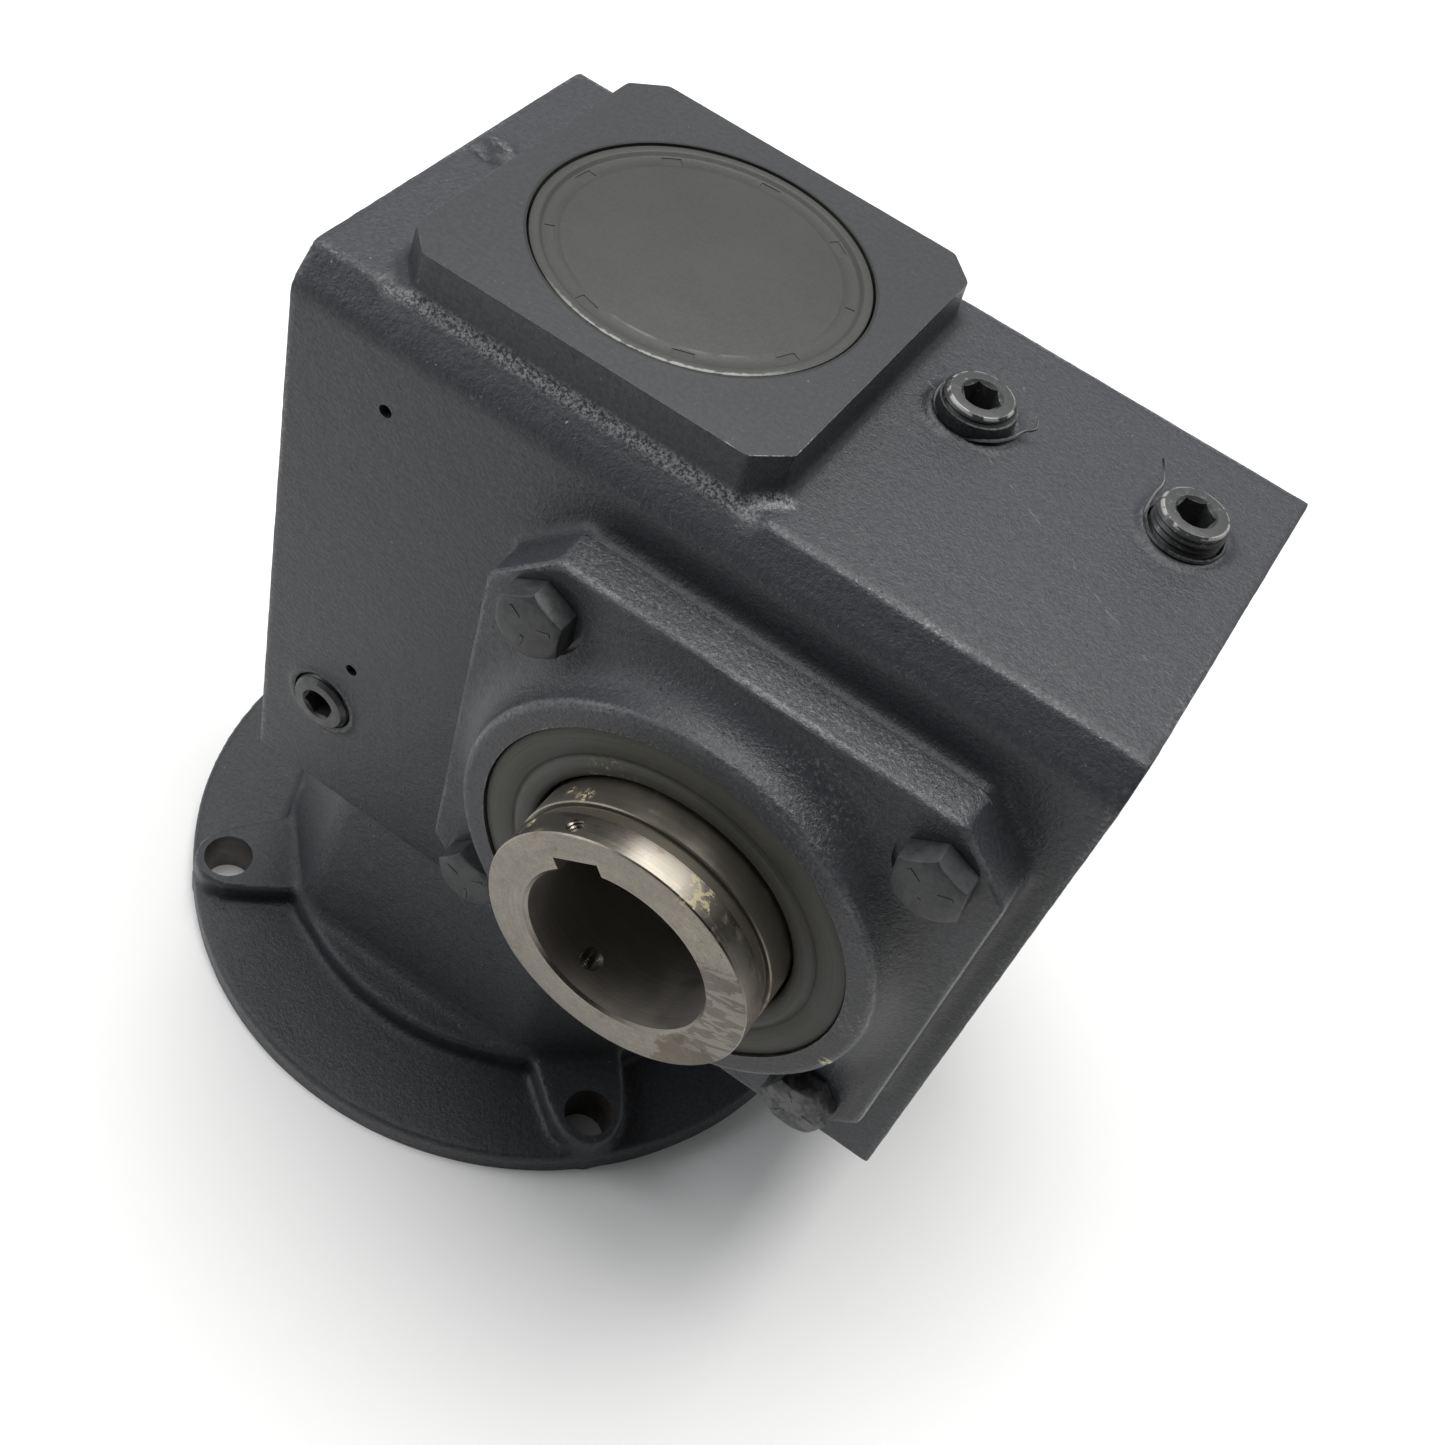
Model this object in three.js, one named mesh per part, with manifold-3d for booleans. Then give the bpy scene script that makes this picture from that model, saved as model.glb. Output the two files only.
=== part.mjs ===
// Worm gearbox: single-stage right-angle worm reducer with a C-face motor
// flange and quill input, and a hollow keyed output shaft.
// Millimetres, +Z up. The worm axis is vertical, the output axis runs along Y.
// The origin is the middle of the footprint, on the plane of the motor face.
import * as THREE from 'three';
import { mergeVertices } from 'three/addons/utils/BufferGeometryUtils.js';
import { ConvexGeometry } from 'three/addons/geometries/ConvexGeometry.js';
import Module from 'manifold-3d';

const wasm = await Module();
wasm.setup();

// ---------------------------------------------------------------- dimensions
// Motor flange (NEMA 56C / 143TC face)
const FLANGE_R = 82.55;        // outside radius (6.5 in)
const FLANGE_T = 6.6;          // thickness between the lobes
const LOBE_Z = 12.6;           // top of the lobes and of the hub ring
const HUB_R = 60.0;            // hub ring radius
const HOLE_PCR = 74.6;         // bolt circle radius (5.875 in)
const HOLE_R = 5.6;            // 7/16 in clearance holes
const PILOT_R = 57.2;          // pilot recess radius (4.5 in)
const PILOT_D = 5.0;           // pilot recess depth
const NECK_TOP = 51.1;         // top of the flange casting
const NECK_B = 51.6;           // half width of the neck at its foot
const NECK_BD = 58.5;          // its diagonal half width at the foot
const NECK_T = 44.8;           // half width of the neck at the top
const NECK_TD = 51.5;          // its diagonal half width at the top

// Gearcase
const CASE_X0 = -52.7;
const CASE_X1 = 110.0;
const CASE_Y = 44.9;           // half width
const CASE_Z0 = 51.6;
const CASE_Z1 = 186.9;
const EDGE_Y = 5.6;            // long top edge chamfer, across
const EDGE_Z = 6.4;            // and down
const PAD_H = 8.5;             // octagonal pad over the worm
const PAD_HALF = 37.7;
const PAD_C = 5.8;
const CAP_BORE_R = 31.0;       // 62 mm bearing and end cap bore

// Output side
const CENTRE_DISTANCE = 52.4;  // worm axis to output axis
const OUT_Z = 119.2;           // output axis height
const COVER_HALF = 51.4;       // square cover with cut corners
const COVER_C = 12.3;
const CASE_FACE = 47.3;        // machined cover pad
const GASKET_T = 0.4;
const COVER_FACE = 56.1;       // outer face of the cover plate
const BOSS_FACE = 65.2;        // outer face of the seal boss
const BOSS_R = 43.0;
const SEAL_R = 37.8;           // output seal, outside
const SPIGOT_R = 48.5;
const BEARING_R = 44.45;       // output bearing, outside (3.5 in)
const BOLT_P = 39.2;           // cover bolt half spacing
const BOLT_R = 3.7;            // 5/16 in
const SHAFT_END = 79.3;        // half length of the hollow shaft
const SHAFT_R = 26.6;
const BORE_R = 18.26;          // 1-7/16 in bore
const KEYWAY_W = 9.525;        // 3/8 in keyway
const KEYWAY_TOP = 20.8;
const KEYWAY_ANG = 34.7;       // degrees from straight up

// Gearing, 30:1 right hand
const MODULE = 2.6;
const TEETH = 30;
const WORM_PR = 13.4;          // worm pitch radius
const WHEEL_PR = 39.0;         // wheel pitch radius
const THREAD_T = 3.5;          // thread and tooth thickness at the pitch line
const WHEEL_W = 12.0;          // half face width
const PRESSURE = 20 * Math.PI / 180;
const LEAD = Math.PI * MODULE;

// Worm shaft
const QUILL_Z0 = 10.0;         // lower end of the quill
const QUILL_R = 15.0;
const QUILL_BORE = 7.94;       // 5/8 in motor shaft
const QUILL_KEY = 10.1;        // keyway depth from the axis
const QUILL_KEY_W = 4.76;      // 3/16 in
const BRG_W = 16.0;            // worm bearing width
const BRG_LOW = 54.0;          // lower bearing, bottom face
const BRG_UP = 160.0;          // upper bearing, bottom face

// ---------------------------------------------------------------- helpers
const DEG = Math.PI / 180;
const outer = (g) => { // faces pointing out
  const p = g.attributes.position, ix = g.index.array;
  let v = 0;
  for (let i = 0; i < ix.length; i += 3) {
    const [a, b, c] = [ix[i], ix[i + 1], ix[i + 2]];
    v += p.getX(a) * (p.getY(b) * p.getZ(c) - p.getZ(b) * p.getY(c))
       + p.getY(a) * (p.getZ(b) * p.getX(c) - p.getX(b) * p.getZ(c))
       + p.getZ(a) * (p.getX(b) * p.getY(c) - p.getY(b) * p.getX(c));
  }
  if (v < 0) for (let i = 0; i < ix.length; i += 3) { const t = ix[i + 1]; ix[i + 1] = ix[i + 2]; ix[i + 2] = t; }
  return g;
};
const clean = (g) => {
  g.deleteAttribute('normal'); g.deleteAttribute('uv');
  let m = mergeVertices(g, 1e-4);
  const ix = Array.from(m.index.array), keep = [];
  for (let i = 0; i < ix.length; i += 3)
    if (ix[i] !== ix[i + 1] && ix[i + 1] !== ix[i + 2] && ix[i] !== ix[i + 2]) keep.push(ix[i], ix[i + 1], ix[i + 2]);
  m.setIndex(keep);
  return outer(m);
};
const solid = (g) => {
  const m = clean(g.clone());
  const s = new wasm.Manifold(new wasm.Mesh({
    numProp: 3,
    vertProperties: new Float32Array(m.attributes.position.array),
    triVerts: new Uint32Array(m.index.array),
  }));
  return s;
};
const geo = (s) => {
  const m = s.getMesh();
  const g = new THREE.BufferGeometry();
  const n = m.numProp, pos = new Float32Array(m.vertProperties.length / n * 3);
  for (let i = 0, j = 0; i < m.vertProperties.length; i += n, j += 3) {
    pos[j] = m.vertProperties[i]; pos[j + 1] = m.vertProperties[i + 1]; pos[j + 2] = m.vertProperties[i + 2];
  }
  g.setAttribute('position', new THREE.BufferAttribute(pos, 3));
  g.setIndex(Array.from(m.triVerts));
  return g;
};
// revolve a closed [r, z] outline about Z
const turn = (pts, seg = 40, phase = 0) => {
  const closed = [...pts, pts[0]].map(([r, z]) => new THREE.Vector2(Math.max(r, 0), z));
  const g = new THREE.LatheGeometry(closed, seg);
  g.rotateX(Math.PI / 2);
  if (phase) g.rotateZ(phase);
  return clean(g);
};
const rod = (r, z0, z1, seg = 24) => turn([[0, z0], [r, z0], [r, z1], [0, z1]], seg);
const cutOctagon = (h, c) => [[h, -h + c], [h, h - c], [h - c, h], [-h + c, h], [-h, h - c], [-h, -h + c], [-h + c, -h], [h - c, -h]];
const outline = (pts) => new THREE.Shape(pts.map(([x, y]) => new THREE.Vector2(x, y)));
const plate = (pts, z0, z1) => {
  const g = new THREE.ExtrudeGeometry(outline(pts), { depth: z1 - z0, bevelEnabled: false });
  g.translate(0, 0, z0);
  return clean(g);
};
const box = (x0, x1, y0, y1, z0, z1) => {
  const g = new THREE.BoxGeometry(x1 - x0, y1 - y0, z1 - z0);
  g.translate((x0 + x1) / 2, (y0 + y1) / 2, (z0 + z1) / 2);
  return clean(g);
};
const at = (g, x, y, z) => { const c = g.clone(); c.translate(x, y, z); return c; };
const toY = (g) => { const c = g.clone(); c.rotateX(Math.PI / 2); return c; };  // local z becomes -Y
const hexPts = (af, a0 = 0) => Array.from({ length: 6 }, (_, i) => {
  const r = af / 2 / Math.cos(30 * DEG), a = a0 + i * 60 * DEG; return [r * Math.cos(a), r * Math.sin(a)];
});
const join = (...gs) => geo(gs.map((g) => (g.isBufferGeometry ? solid(g) : g)).reduce((a, b) => a.add(b)));
const cut = (a, ...bs) => geo(bs.reduce((s, b) => s.subtract(solid(b)), solid(a)));
const common = (a, b) => geo(solid(a).intersect(solid(b)));

// ---------------------------------------------------------------- materials
const mat = (color, roughness, metalness) => new THREE.MeshStandardMaterial({ color, roughness, metalness });
const castPaint = mat(0x3b3f45, 0.62, 0.05);
const capPaint = mat(0x4b4f4d, 0.5, 0.05);
const gasketMat = mat(0x6d675a, 0.9, 0.0);
const boltPaint = mat(0x4a4d50, 0.55, 0.2);
const plugMetal = mat(0x6a6b6c, 0.35, 0.9);
const brightSteel = mat(0xb9b5a9, 0.3, 1.0);
const raceSteel = mat(0xa9adb1, 0.22, 1.0);
const bronze = mat(0xa9783c, 0.4, 1.0);
const rubber = mat(0x45463f, 0.75, 0.0);
const cage = mat(0x8d8f92, 0.45, 0.9);

const group = new THREE.Group();
const unit = new THREE.Group();          // everything, in the worm-axis frame
unit.position.x = -(CASE_X1 - FLANGE_R) / 2;
group.add(unit);
const outAxis = new THREE.Group();       // local z points out of the front face
outAxis.position.set(CENTRE_DISTANCE, 0, OUT_Z);
outAxis.rotation.x = Math.PI / 2;
unit.add(outAxis);
const rearAxis = new THREE.Group();      // local z points out of the rear face
rearAxis.position.set(CENTRE_DISTANCE, 0, OUT_Z);
rearAxis.rotation.x = -Math.PI / 2;
unit.add(rearAxis);
const put = (parent, name, g, material, x = 0, y = 0, z = 0, rz = 0) => {
  const m = new THREE.Mesh(g, material);
  m.name = name; m.position.set(x, y, z); m.rotation.z = rz;
  parent.add(m);
  return m;
};

// ---------------------------------------------------------------- gearcase
{
  const sec = [[-CASE_Y, CASE_Z0], [CASE_Y, CASE_Z0], [CASE_Y, CASE_Z1 - EDGE_Z], [CASE_Y - EDGE_Y, CASE_Z1],
    [-CASE_Y + EDGE_Y, CASE_Z1], [-CASE_Y, CASE_Z1 - EDGE_Z]];
  const block = new THREE.ExtrudeGeometry(outline(sec), { depth: CASE_X1 - CASE_X0, bevelEnabled: false });
  block.rotateX(Math.PI / 2); block.rotateZ(Math.PI / 2);
  block.translate(CASE_X0, 0, 0);
  const pad = plate(cutOctagon(PAD_HALF, PAD_C), CASE_Z1 - 3, CASE_Z1 + PAD_H);
  const facePad = at(toY(plate(cutOctagon(COVER_HALF, COVER_C), -CASE_FACE, CASE_FACE)), CENTRE_DISTANCE, 0, OUT_Z);
  let s = solid(block).add(solid(pad)).add(solid(facePad));
  // inside: one chamber for the worm and the wheel, with bosses left standing
  const chamber = solid(box(-44, 102, -37, 37, 66, 179));
  const bosses = solid(rod(37, 60, 74, 24)).add(solid(rod(38, 156, 182, 24)));
  let hollow = chamber.subtract(bosses);
  for (const sx of [-1, 1]) for (const sz of [-1, 1]) for (const sy of [-1, 1])
    hollow = hollow.subtract(solid(at(toY(rod(8.2, sy > 0 ? -40 : 24, sy > 0 ? -24 : 40, 8)),
      CENTRE_DISTANCE + sx * BOLT_P, 0, OUT_Z + sz * BOLT_P)));
  s = s.subtract(hollow);
  const across = (r, a, b, seg = 32) => solid(at(toY(rod(r, a, b, seg)), CENTRE_DISTANCE, 0, OUT_Z));
  s = s.subtract(across(SPIGOT_R + 0.3, 30.5, 60)).subtract(across(SPIGOT_R + 0.3, -60, -30.5));
  s = s.subtract(across(44.8, -37, 37, 28));
  // worm bearing bores, lips and the retaining ring groove
  s = s.subtract(solid(rod(CAP_BORE_R, BRG_UP, 200, 32)));
  s = s.subtract(solid(rod(32.5, 176.2, 178.1, 32)));
  s = s.subtract(solid(rod(27, 150, 161, 24)));
  s = s.subtract(solid(rod(CAP_BORE_R, 40, BRG_LOW + BRG_W, 32)));
  s = s.subtract(solid(rod(27, 69, 80, 24)));
  // screw and plug holes
  for (const sx of [-1, 1]) for (const sz of [-1, 1]) for (const sy of [-1, 1])
    s = s.subtract(solid(at(toY(rod(4.0, sy > 0 ? -50 : 28, sy > 0 ? -28 : 50, 8)),
      CENTRE_DISTANCE + sx * BOLT_P, 0, OUT_Z + sz * BOLT_P)));
  for (const sx of [-1, 1]) for (const sy of [-1, 1])
    s = s.subtract(solid(at(rod(4.1, 50, 64, 8), sx * 28.5, sy * 28.5, 0)));
  s = s.subtract(solid(at(rod(7.2, 170, 190, 12), 52.6, 11.0, 0)));
  s = s.subtract(solid(at(rod(7.2, 170, 190, 12), 94.2, 12.9, 0)));
  s = s.subtract(solid(at(toY(rod(7.2, 30, 50, 12)), -36.6, 0, 79.7)));
  s = s.subtract(solid(at(toY(rod(7.2, -50, -30, 12)), -36.6, 0, 79.7)));
  s = s.subtract(solid(at(toY(rod(1.35, 40, 50, 8)), -30.5, 0, 94.9)));
  s = s.subtract(solid(at(toY(rod(1.35, 40, 50, 8)), -30.3, 0, 166.3)));
  put(unit, 'gearcase', geo(s), castPaint);
}

// ---------------------------------------------------------------- motor flange
{
  const octa = (h, d) => { // regular-ish octagon: half width h, diagonal half width d
    const k = d * Math.SQRT2 - h;
    return [[h, -k], [h, k], [k, h], [-k, h], [-h, k], [-h, -k], [-k, -h], [k, -h]];
  };
  const hull = (lo, z0, hi, z1) => clean(new ConvexGeometry([
    ...lo.map(([x, y]) => new THREE.Vector3(x, y, z0)), ...hi.map(([x, y]) => new THREE.Vector3(x, y, z1))]));
  const disc = turn([[0, 0], [FLANGE_R, 0], [FLANGE_R, FLANGE_T], [0, FLANGE_T]], 48);
  const hub = turn([[0, 0], [HUB_R + 1.4, FLANGE_T - 1], [HUB_R + 1.4, FLANGE_T], [HUB_R, FLANGE_T + 1.6], [HUB_R, LOBE_Z], [0, LOBE_Z]].map(([r, z], i) => (i === 0 ? [0, FLANGE_T - 1] : [r, z])), 40);
  let s = solid(disc).add(solid(hub));
  for (let i = 0; i < 4; i++) {
    const lobe = plate([[40, -10.6], [62, -10.4], [76, -8.2], [81, -4.6], [82.3, 0], [81, 4.6], [76, 8.2], [62, 10.4], [40, 10.6]], 3, LOBE_Z);
    lobe.rotateZ((45 + 90 * i) * DEG);
    s = s.add(solid(lobe));
  }
  s = s.add(solid(hull(octa(NECK_B, NECK_BD), LOBE_Z, octa(NECK_T, NECK_TD), NECK_TOP)));
  s = s.add(solid(plate(octa(NECK_B, NECK_BD), 4, LOBE_Z)));
  s = s.add(solid(turn([[24.6, NECK_TOP - 2], [30.8, NECK_TOP - 2], [30.8, BRG_LOW], [24.6, BRG_LOW]], 32)));
  s = s.subtract(solid(rod(PILOT_R, -1, PILOT_D, 40)));
  s = s.subtract(solid(rod(42, 0, 38, 28)));
  s = s.subtract(solid(rod(17, 30, 60, 24)));
  s = s.subtract(solid(rod(23.6, 40, 60, 28)));
  for (let i = 0; i < 4; i++) {
    const a = (45 + 90 * i) * DEG, c = Math.cos(a), d = Math.sin(a);
    s = s.subtract(solid(at(rod(HOLE_R, -1, 20, 12), HOLE_PCR * c, HOLE_PCR * d, 0)));
    s = s.subtract(solid(at(rod(7.7, 1, 38, 10), 40.3 * c, 40.3 * d, 0)));
    s = s.subtract(solid(at(rod(4.3, 30, 60, 8), 40.3 * c, 40.3 * d, 0)));
  }
  put(unit, 'motor_flange', geo(s), castPaint);
  // gasket between the flange casting and the gearcase
  const g = cut(plate(octa(NECK_T, NECK_TD), NECK_TOP, CASE_Z0), rod(31.0, 40, 60, 32),
    ...[0, 1, 2, 3].map((i) => at(rod(4.3, 40, 60, 8), 40.3 * Math.cos((45 + 90 * i) * DEG), 40.3 * Math.sin((45 + 90 * i) * DEG), 0)));
  put(unit, 'flange_gasket', g, gasketMat);
  // socket head screws, heads inside the flange
  const head = turn([[0, 30.2], [5.9, 30.2], [6.5, 30.8], [6.5, 38], [0, 38]], 12);
  const screw = cut(join(head, rod(3.8, 37, 62, 8)), plate(hexPts(6.35), 25, 34.2));
  for (let i = 0; i < 4; i++) {
    const a = (45 + 90 * i) * DEG;
    put(unit, `flange_screw_${i + 1}`, screw, plugMetal, 40.3 * Math.cos(a), 40.3 * Math.sin(a), 0, a);
  }
  // input seal around the quill
  put(unit, 'input_seal', turn([[23.4, 40.2], [23.4, 49.6], [20.6, 49.6], [20.6, 43.4], [15.35, 45.6], [15.35, 43.2], [17.4, 40.2]], 28), rubber);
}

// ---------------------------------------------------------------- covers
const coverGeo = (() => {
  const slab = plate(cutOctagon(COVER_HALF, COVER_C), CASE_FACE + GASKET_T, COVER_FACE);
  const boss = turn([[0, COVER_FACE - 2], [49.6, COVER_FACE - 2], [49.6, COVER_FACE], [47.2, 57.2], [45.2, 59.2], [43.7, 61.8], [BOSS_R, 64.4], [BOSS_R - 0.6, BOSS_FACE], [0, BOSS_FACE]], 32);
  const spigot = rod(SPIGOT_R, 31.2, COVER_FACE - 1, 32);
  let s = solid(slab).add(solid(boss)).add(solid(spigot));
  s = s.subtract(solid(rod(BEARING_R + 0.05, 20, 52, 32)));
  s = s.subtract(solid(rod(31.5, 45, 60, 24)));
  s = s.subtract(solid(rod(SEAL_R + 0.1, 55, 70, 32)));
  for (const sx of [-1, 1]) for (const sy of [-1, 1]) s = s.subtract(solid(at(rod(4.1, 40, 60, 8), sx * BOLT_P, sy * BOLT_P, 0))).subtract(solid(at(rod(8.2, COVER_FACE, 60, 12), sx * BOLT_P, sy * BOLT_P, 0)));
  return geo(s);
})();
const coverGasket = cut(plate(cutOctagon(COVER_HALF, COVER_C), CASE_FACE, CASE_FACE + GASKET_T), rod(SPIGOT_R + 0.3, 40, 60, 32),
  ...[[1, 1], [1, -1], [-1, 1], [-1, -1]].map(([a, b]) => at(rod(4.1, 40, 60, 8), a * BOLT_P, b * BOLT_P, 0)));
const sealGeo = turn([[SEAL_R, 55.1], [SEAL_R, 64.6], [31.4, 64.6], [30.4, 65.0], [29.2, 64.6], [27.0, 61.2], [27.0, 59.6], [34.6, 57.8], [34.6, 55.1]], 32);
const boltGeo = (() => {
  const low = hexPts(12.7).map(([x, y]) => new THREE.Vector3(x, y, 0)), mid = low.map((v) => new THREE.Vector3(v.x, v.y, 4.5));
  const top = Array.from({ length: 12 }, (_, i) => new THREE.Vector3(6.05 * Math.cos(i * 30 * DEG), 6.05 * Math.sin(i * 30 * DEG), 5.3));
  return join(clean(new ConvexGeometry([...low, ...mid, ...top])), rod(BOLT_R, -26, 1, 8));
})();
const cupGeo = turn([[BEARING_R - 0.05, 36], [BEARING_R - 0.05, 51.95], [36.2, 51.95], [39.3, 36]], 32);
const coneGeo = turn([[26.9, 33.1], [26.9, 52], [30.65, 52], [33.5, 37.7], [35.0, 37.4], [35.0, 33.1]], 32);
const rollerGeo = (() => {
  const tilt = Math.atan2(2.4, 12.0);
  let s = solid(turn([[34.0, 49.6], [35.4, 50.6], [37.3, 38.6], [35.9, 37.9]].map(([r, z]) => [r - 0.35, z - 0.3]), 28));
  const roller = new THREE.CylinderGeometry(2.15, 2.3, 11.0, 6);   // small end outboard
  for (let i = 0; i < 14; i++) {
    const g = roller.clone(); g.rotateX(Math.PI / 2); g.rotateY(-tilt); g.translate(35.2, 0, 44.0); g.rotateZ((i + 0.25) * 360 / 14 * DEG);
    s = s.add(solid(g));
  }
  return geo(s);
})();
for (const [axis, side, angs] of [[outAxis, 'front', [33, 36, 8, 52]], [rearAxis, 'rear', [20, 5, 41, 27]]]) {
  put(axis, `${side}_cover`, coverGeo, castPaint);
  put(axis, `${side}_cover_gasket`, coverGasket, gasketMat);
  put(axis, `${side}_output_seal`, sealGeo, rubber);
  put(axis, `${side}_bearing_cup`, cupGeo, raceSteel);
  put(axis, `${side}_bearing_cone`, coneGeo, raceSteel);
  put(axis, `${side}_bearing_rollers`, rollerGeo, cage);
  [[-1, 1], [1, 1], [1, -1], [-1, -1]].forEach(([sx, sy], i) =>
    put(axis, `${side}_cover_bolt_${i + 1}`, boltGeo, boltPaint, sx * BOLT_P, sy * BOLT_P, COVER_FACE, angs[i] * DEG));
}

// ---------------------------------------------------------------- output shaft
{
  const half = [[SHAFT_R - 0.6, SHAFT_END], [SHAFT_R, SHAFT_END - 0.6], [SHAFT_R, 73.5], [25.4, 73.5], [25.4, 70.8], [SHAFT_R, 70.8], [SHAFT_R, 33], [29.5, 33]];
  const rear = [[34, -20], [34, -33], [SHAFT_R, -33], [SHAFT_R, -70.8], [25.4, -70.8], [25.4, -73.5], [SHAFT_R, -73.5], [SHAFT_R, -SHAFT_END + 0.6], [SHAFT_R - 0.6, -SHAFT_END]];
  const body = turn([[BORE_R, -SHAFT_END], [BORE_R, SHAFT_END], ...half, [29.5, -20], ...rear], 32);
  const slot = box(-KEYWAY_W / 2, KEYWAY_W / 2, 0, KEYWAY_TOP, -90, 90); slot.rotateZ(KEYWAY_ANG * DEG);
  const seat = box(-4, 4, 0, 40, -18.2, 18.2); // wheel key seat, cut back to the pocket only
  const pocket = common(seat, turn([[26.0, -18.2], [26.0, 18.2], [40, 18.2], [40, -18.2]], 36)); pocket.rotateZ(145 * DEG);
  const h1 = toY(rod(1.5, 15, 30, 8)); h1.rotateZ((180 + 33.3) * DEG); h1.translate(0, 0, 76.6);
  const h2 = toY(rod(2.5, 15, 30, 10)); h2.rotateZ(-18 * DEG); h2.translate(0, 0, 72.1);
  put(outAxis, 'output_shaft', cut(body, slot, pocket, h1, h2), brightSteel);
  put(outAxis, 'wheel_spacer', turn([[29.8, 20.2], [29.8, 32.9], [34, 32.9], [34, 20.2]], 32), raceSteel);
}

// ---------------------------------------------------------------- worm wheel
{
  const inv = (a) => Math.tan(a) - a;
  const rb = WHEEL_PR * Math.cos(PRESSURE), root = WHEEL_PR - 1.2 * MODULE, tip = WHEEL_PR + MODULE;
  const halfAng = (r) => THREAD_T / 2 / WHEEL_PR + inv(PRESSURE) - (r > rb ? inv(Math.acos(rb / r)) : 0);
  const radii = [root, WHEEL_PR, tip];
  const flank = [];
  for (let i = 0; i < TEETH; i++) {
    const c = Math.PI + i * 2 * Math.PI / TEETH;      // a tooth points at the worm
    for (const r of radii) flank.push([r, c - halfAng(r) - (r === root ? 0.006 : 0)]);
    for (const r of [...radii].reverse()) flank.push([r, c + halfAng(r) + (r === root ? 0.006 : 0)]);
  }
  const lead = MODULE / (2 * WORM_PR);                  // tangent of the lead angle
  const n = flank.length, pos = [], idx = [], zs = [-WHEEL_W, WHEEL_W];
  for (const z of zs) for (const [r, a] of flank) {
    const t = a + z * lead / WHEEL_PR;                  // local z is -Y, so the twist flips with it
    pos.push(r * Math.cos(t), r * Math.sin(t), z);
  }
  for (let k = 0; k < zs.length - 1; k++) for (let i = 0; i < n; i++) {
    const a = k * n + i, b = k * n + (i + 1) % n, c = a + n, d = b + n;
    idx.push(a, b, d, a, d, c);
  }
  const faces = THREE.ShapeUtils.triangulateShape(flank.map(([r, a]) => new THREE.Vector2(r * Math.cos(a), r * Math.sin(a))), []);
  for (const [a, b, c] of faces) { idx.push(a, c, b); idx.push(n + a, n + b, n + c); }
  const g = new THREE.BufferGeometry();
  g.setAttribute('position', new THREE.BufferAttribute(new Float32Array(pos), 3)); g.setIndex(idx);
  let s = solid(outer(g)).add(solid(rod(34.8, -19.8, 20, 30))).subtract(solid(rod(29.8, -30, 30, 32)));
  const seat = box(-4.15, 4.15, 0, 32.7, -30, 30); seat.rotateZ(145 * DEG);
  s = s.subtract(solid(seat));
  put(outAxis, 'worm_wheel', geo(s), bronze);
  const key = box(-3.85, 3.85, 26.2, 32.4, -17.9, 17.9);
  put(outAxis, 'wheel_key', key, brightSteel, 0, 0, 0, 145 * DEG);
}

// ---------------------------------------------------------------- worm shaft
{
  const body = turn([[0, QUILL_Z0], [QUILL_R - 0.6, QUILL_Z0], [QUILL_R, QUILL_Z0 + 0.6], [QUILL_R, BRG_LOW + BRG_W + 0.2], [17.5, BRG_LOW + BRG_W + 0.2], [17.5, 78], [0, 78]], 24);
  const seg = 14;
  const core = turn([[0, 77.6], [16.4, 77.6], [10.2, 83], [10.2, 148], [16.4, 152.4], [0, 152.4]], seg);
  const top = turn([[0, 152], [17.5, 152], [17.5, BRG_UP - 0.2], [QUILL_R, BRG_UP - 0.2], [QUILL_R, 178.4], [QUILL_R - 0.6, 179], [0, 179]], 24);
  const prof = [[9.6, 3.5 / 2 + (WORM_PR - 9.6) * Math.tan(PRESSURE)], [WORM_PR + MODULE, THREAD_T / 2 - MODULE * Math.tan(PRESSURE)]];
  const z0 = OUT_Z - 3 * LEAD, z1 = OUT_Z + 3 * LEAD, pos = [], idx = [];
  const steps = Math.round((z1 - z0) / LEAD * seg);
  for (let i = 0; i <= steps; i++) {
    const z = z0 + i * LEAD / seg;
    const phi = (z - OUT_Z - LEAD / 2) / LEAD * 2 * Math.PI;   // a gap faces the wheel at rest
    const fade = Math.min(1, i / (seg * 0.4), (steps - i) / (seg * 0.4));
    const rt = 9.9 + (prof[1][0] - 9.9) * fade;
    for (const [r, h] of [[prof[0][0], -prof[0][1]], [rt, -prof[1][1]], [rt, prof[1][1]], [prof[0][0], prof[0][1]]])
      pos.push(r * Math.cos(phi), r * Math.sin(phi), z + h);
  }
  for (let i = 0; i < steps; i++) for (let k = 0; k < 4; k++) {
    const a = i * 4 + k, b = i * 4 + (k + 1) % 4; idx.push(a, b, b + 4, a, b + 4, a + 4);
  }
  const e = steps * 4; idx.push(0, 2, 1, 0, 3, 2, e, e + 1, e + 2, e, e + 2, e + 3);
  const thread = new THREE.BufferGeometry();
  thread.setAttribute('position', new THREE.BufferAttribute(new Float32Array(pos), 3)); thread.setIndex(idx);
  let s = solid(core).add(solid(outer(thread))).add(solid(body)).add(solid(top));
  s = s.subtract(solid(rod(QUILL_BORE, 0, 66, 24))).subtract(solid(box(-QUILL_KEY_W / 2, QUILL_KEY_W / 2, 0, QUILL_KEY, 0, 56)));
  put(unit, 'worm_shaft', geo(s), brightSteel);
}

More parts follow.
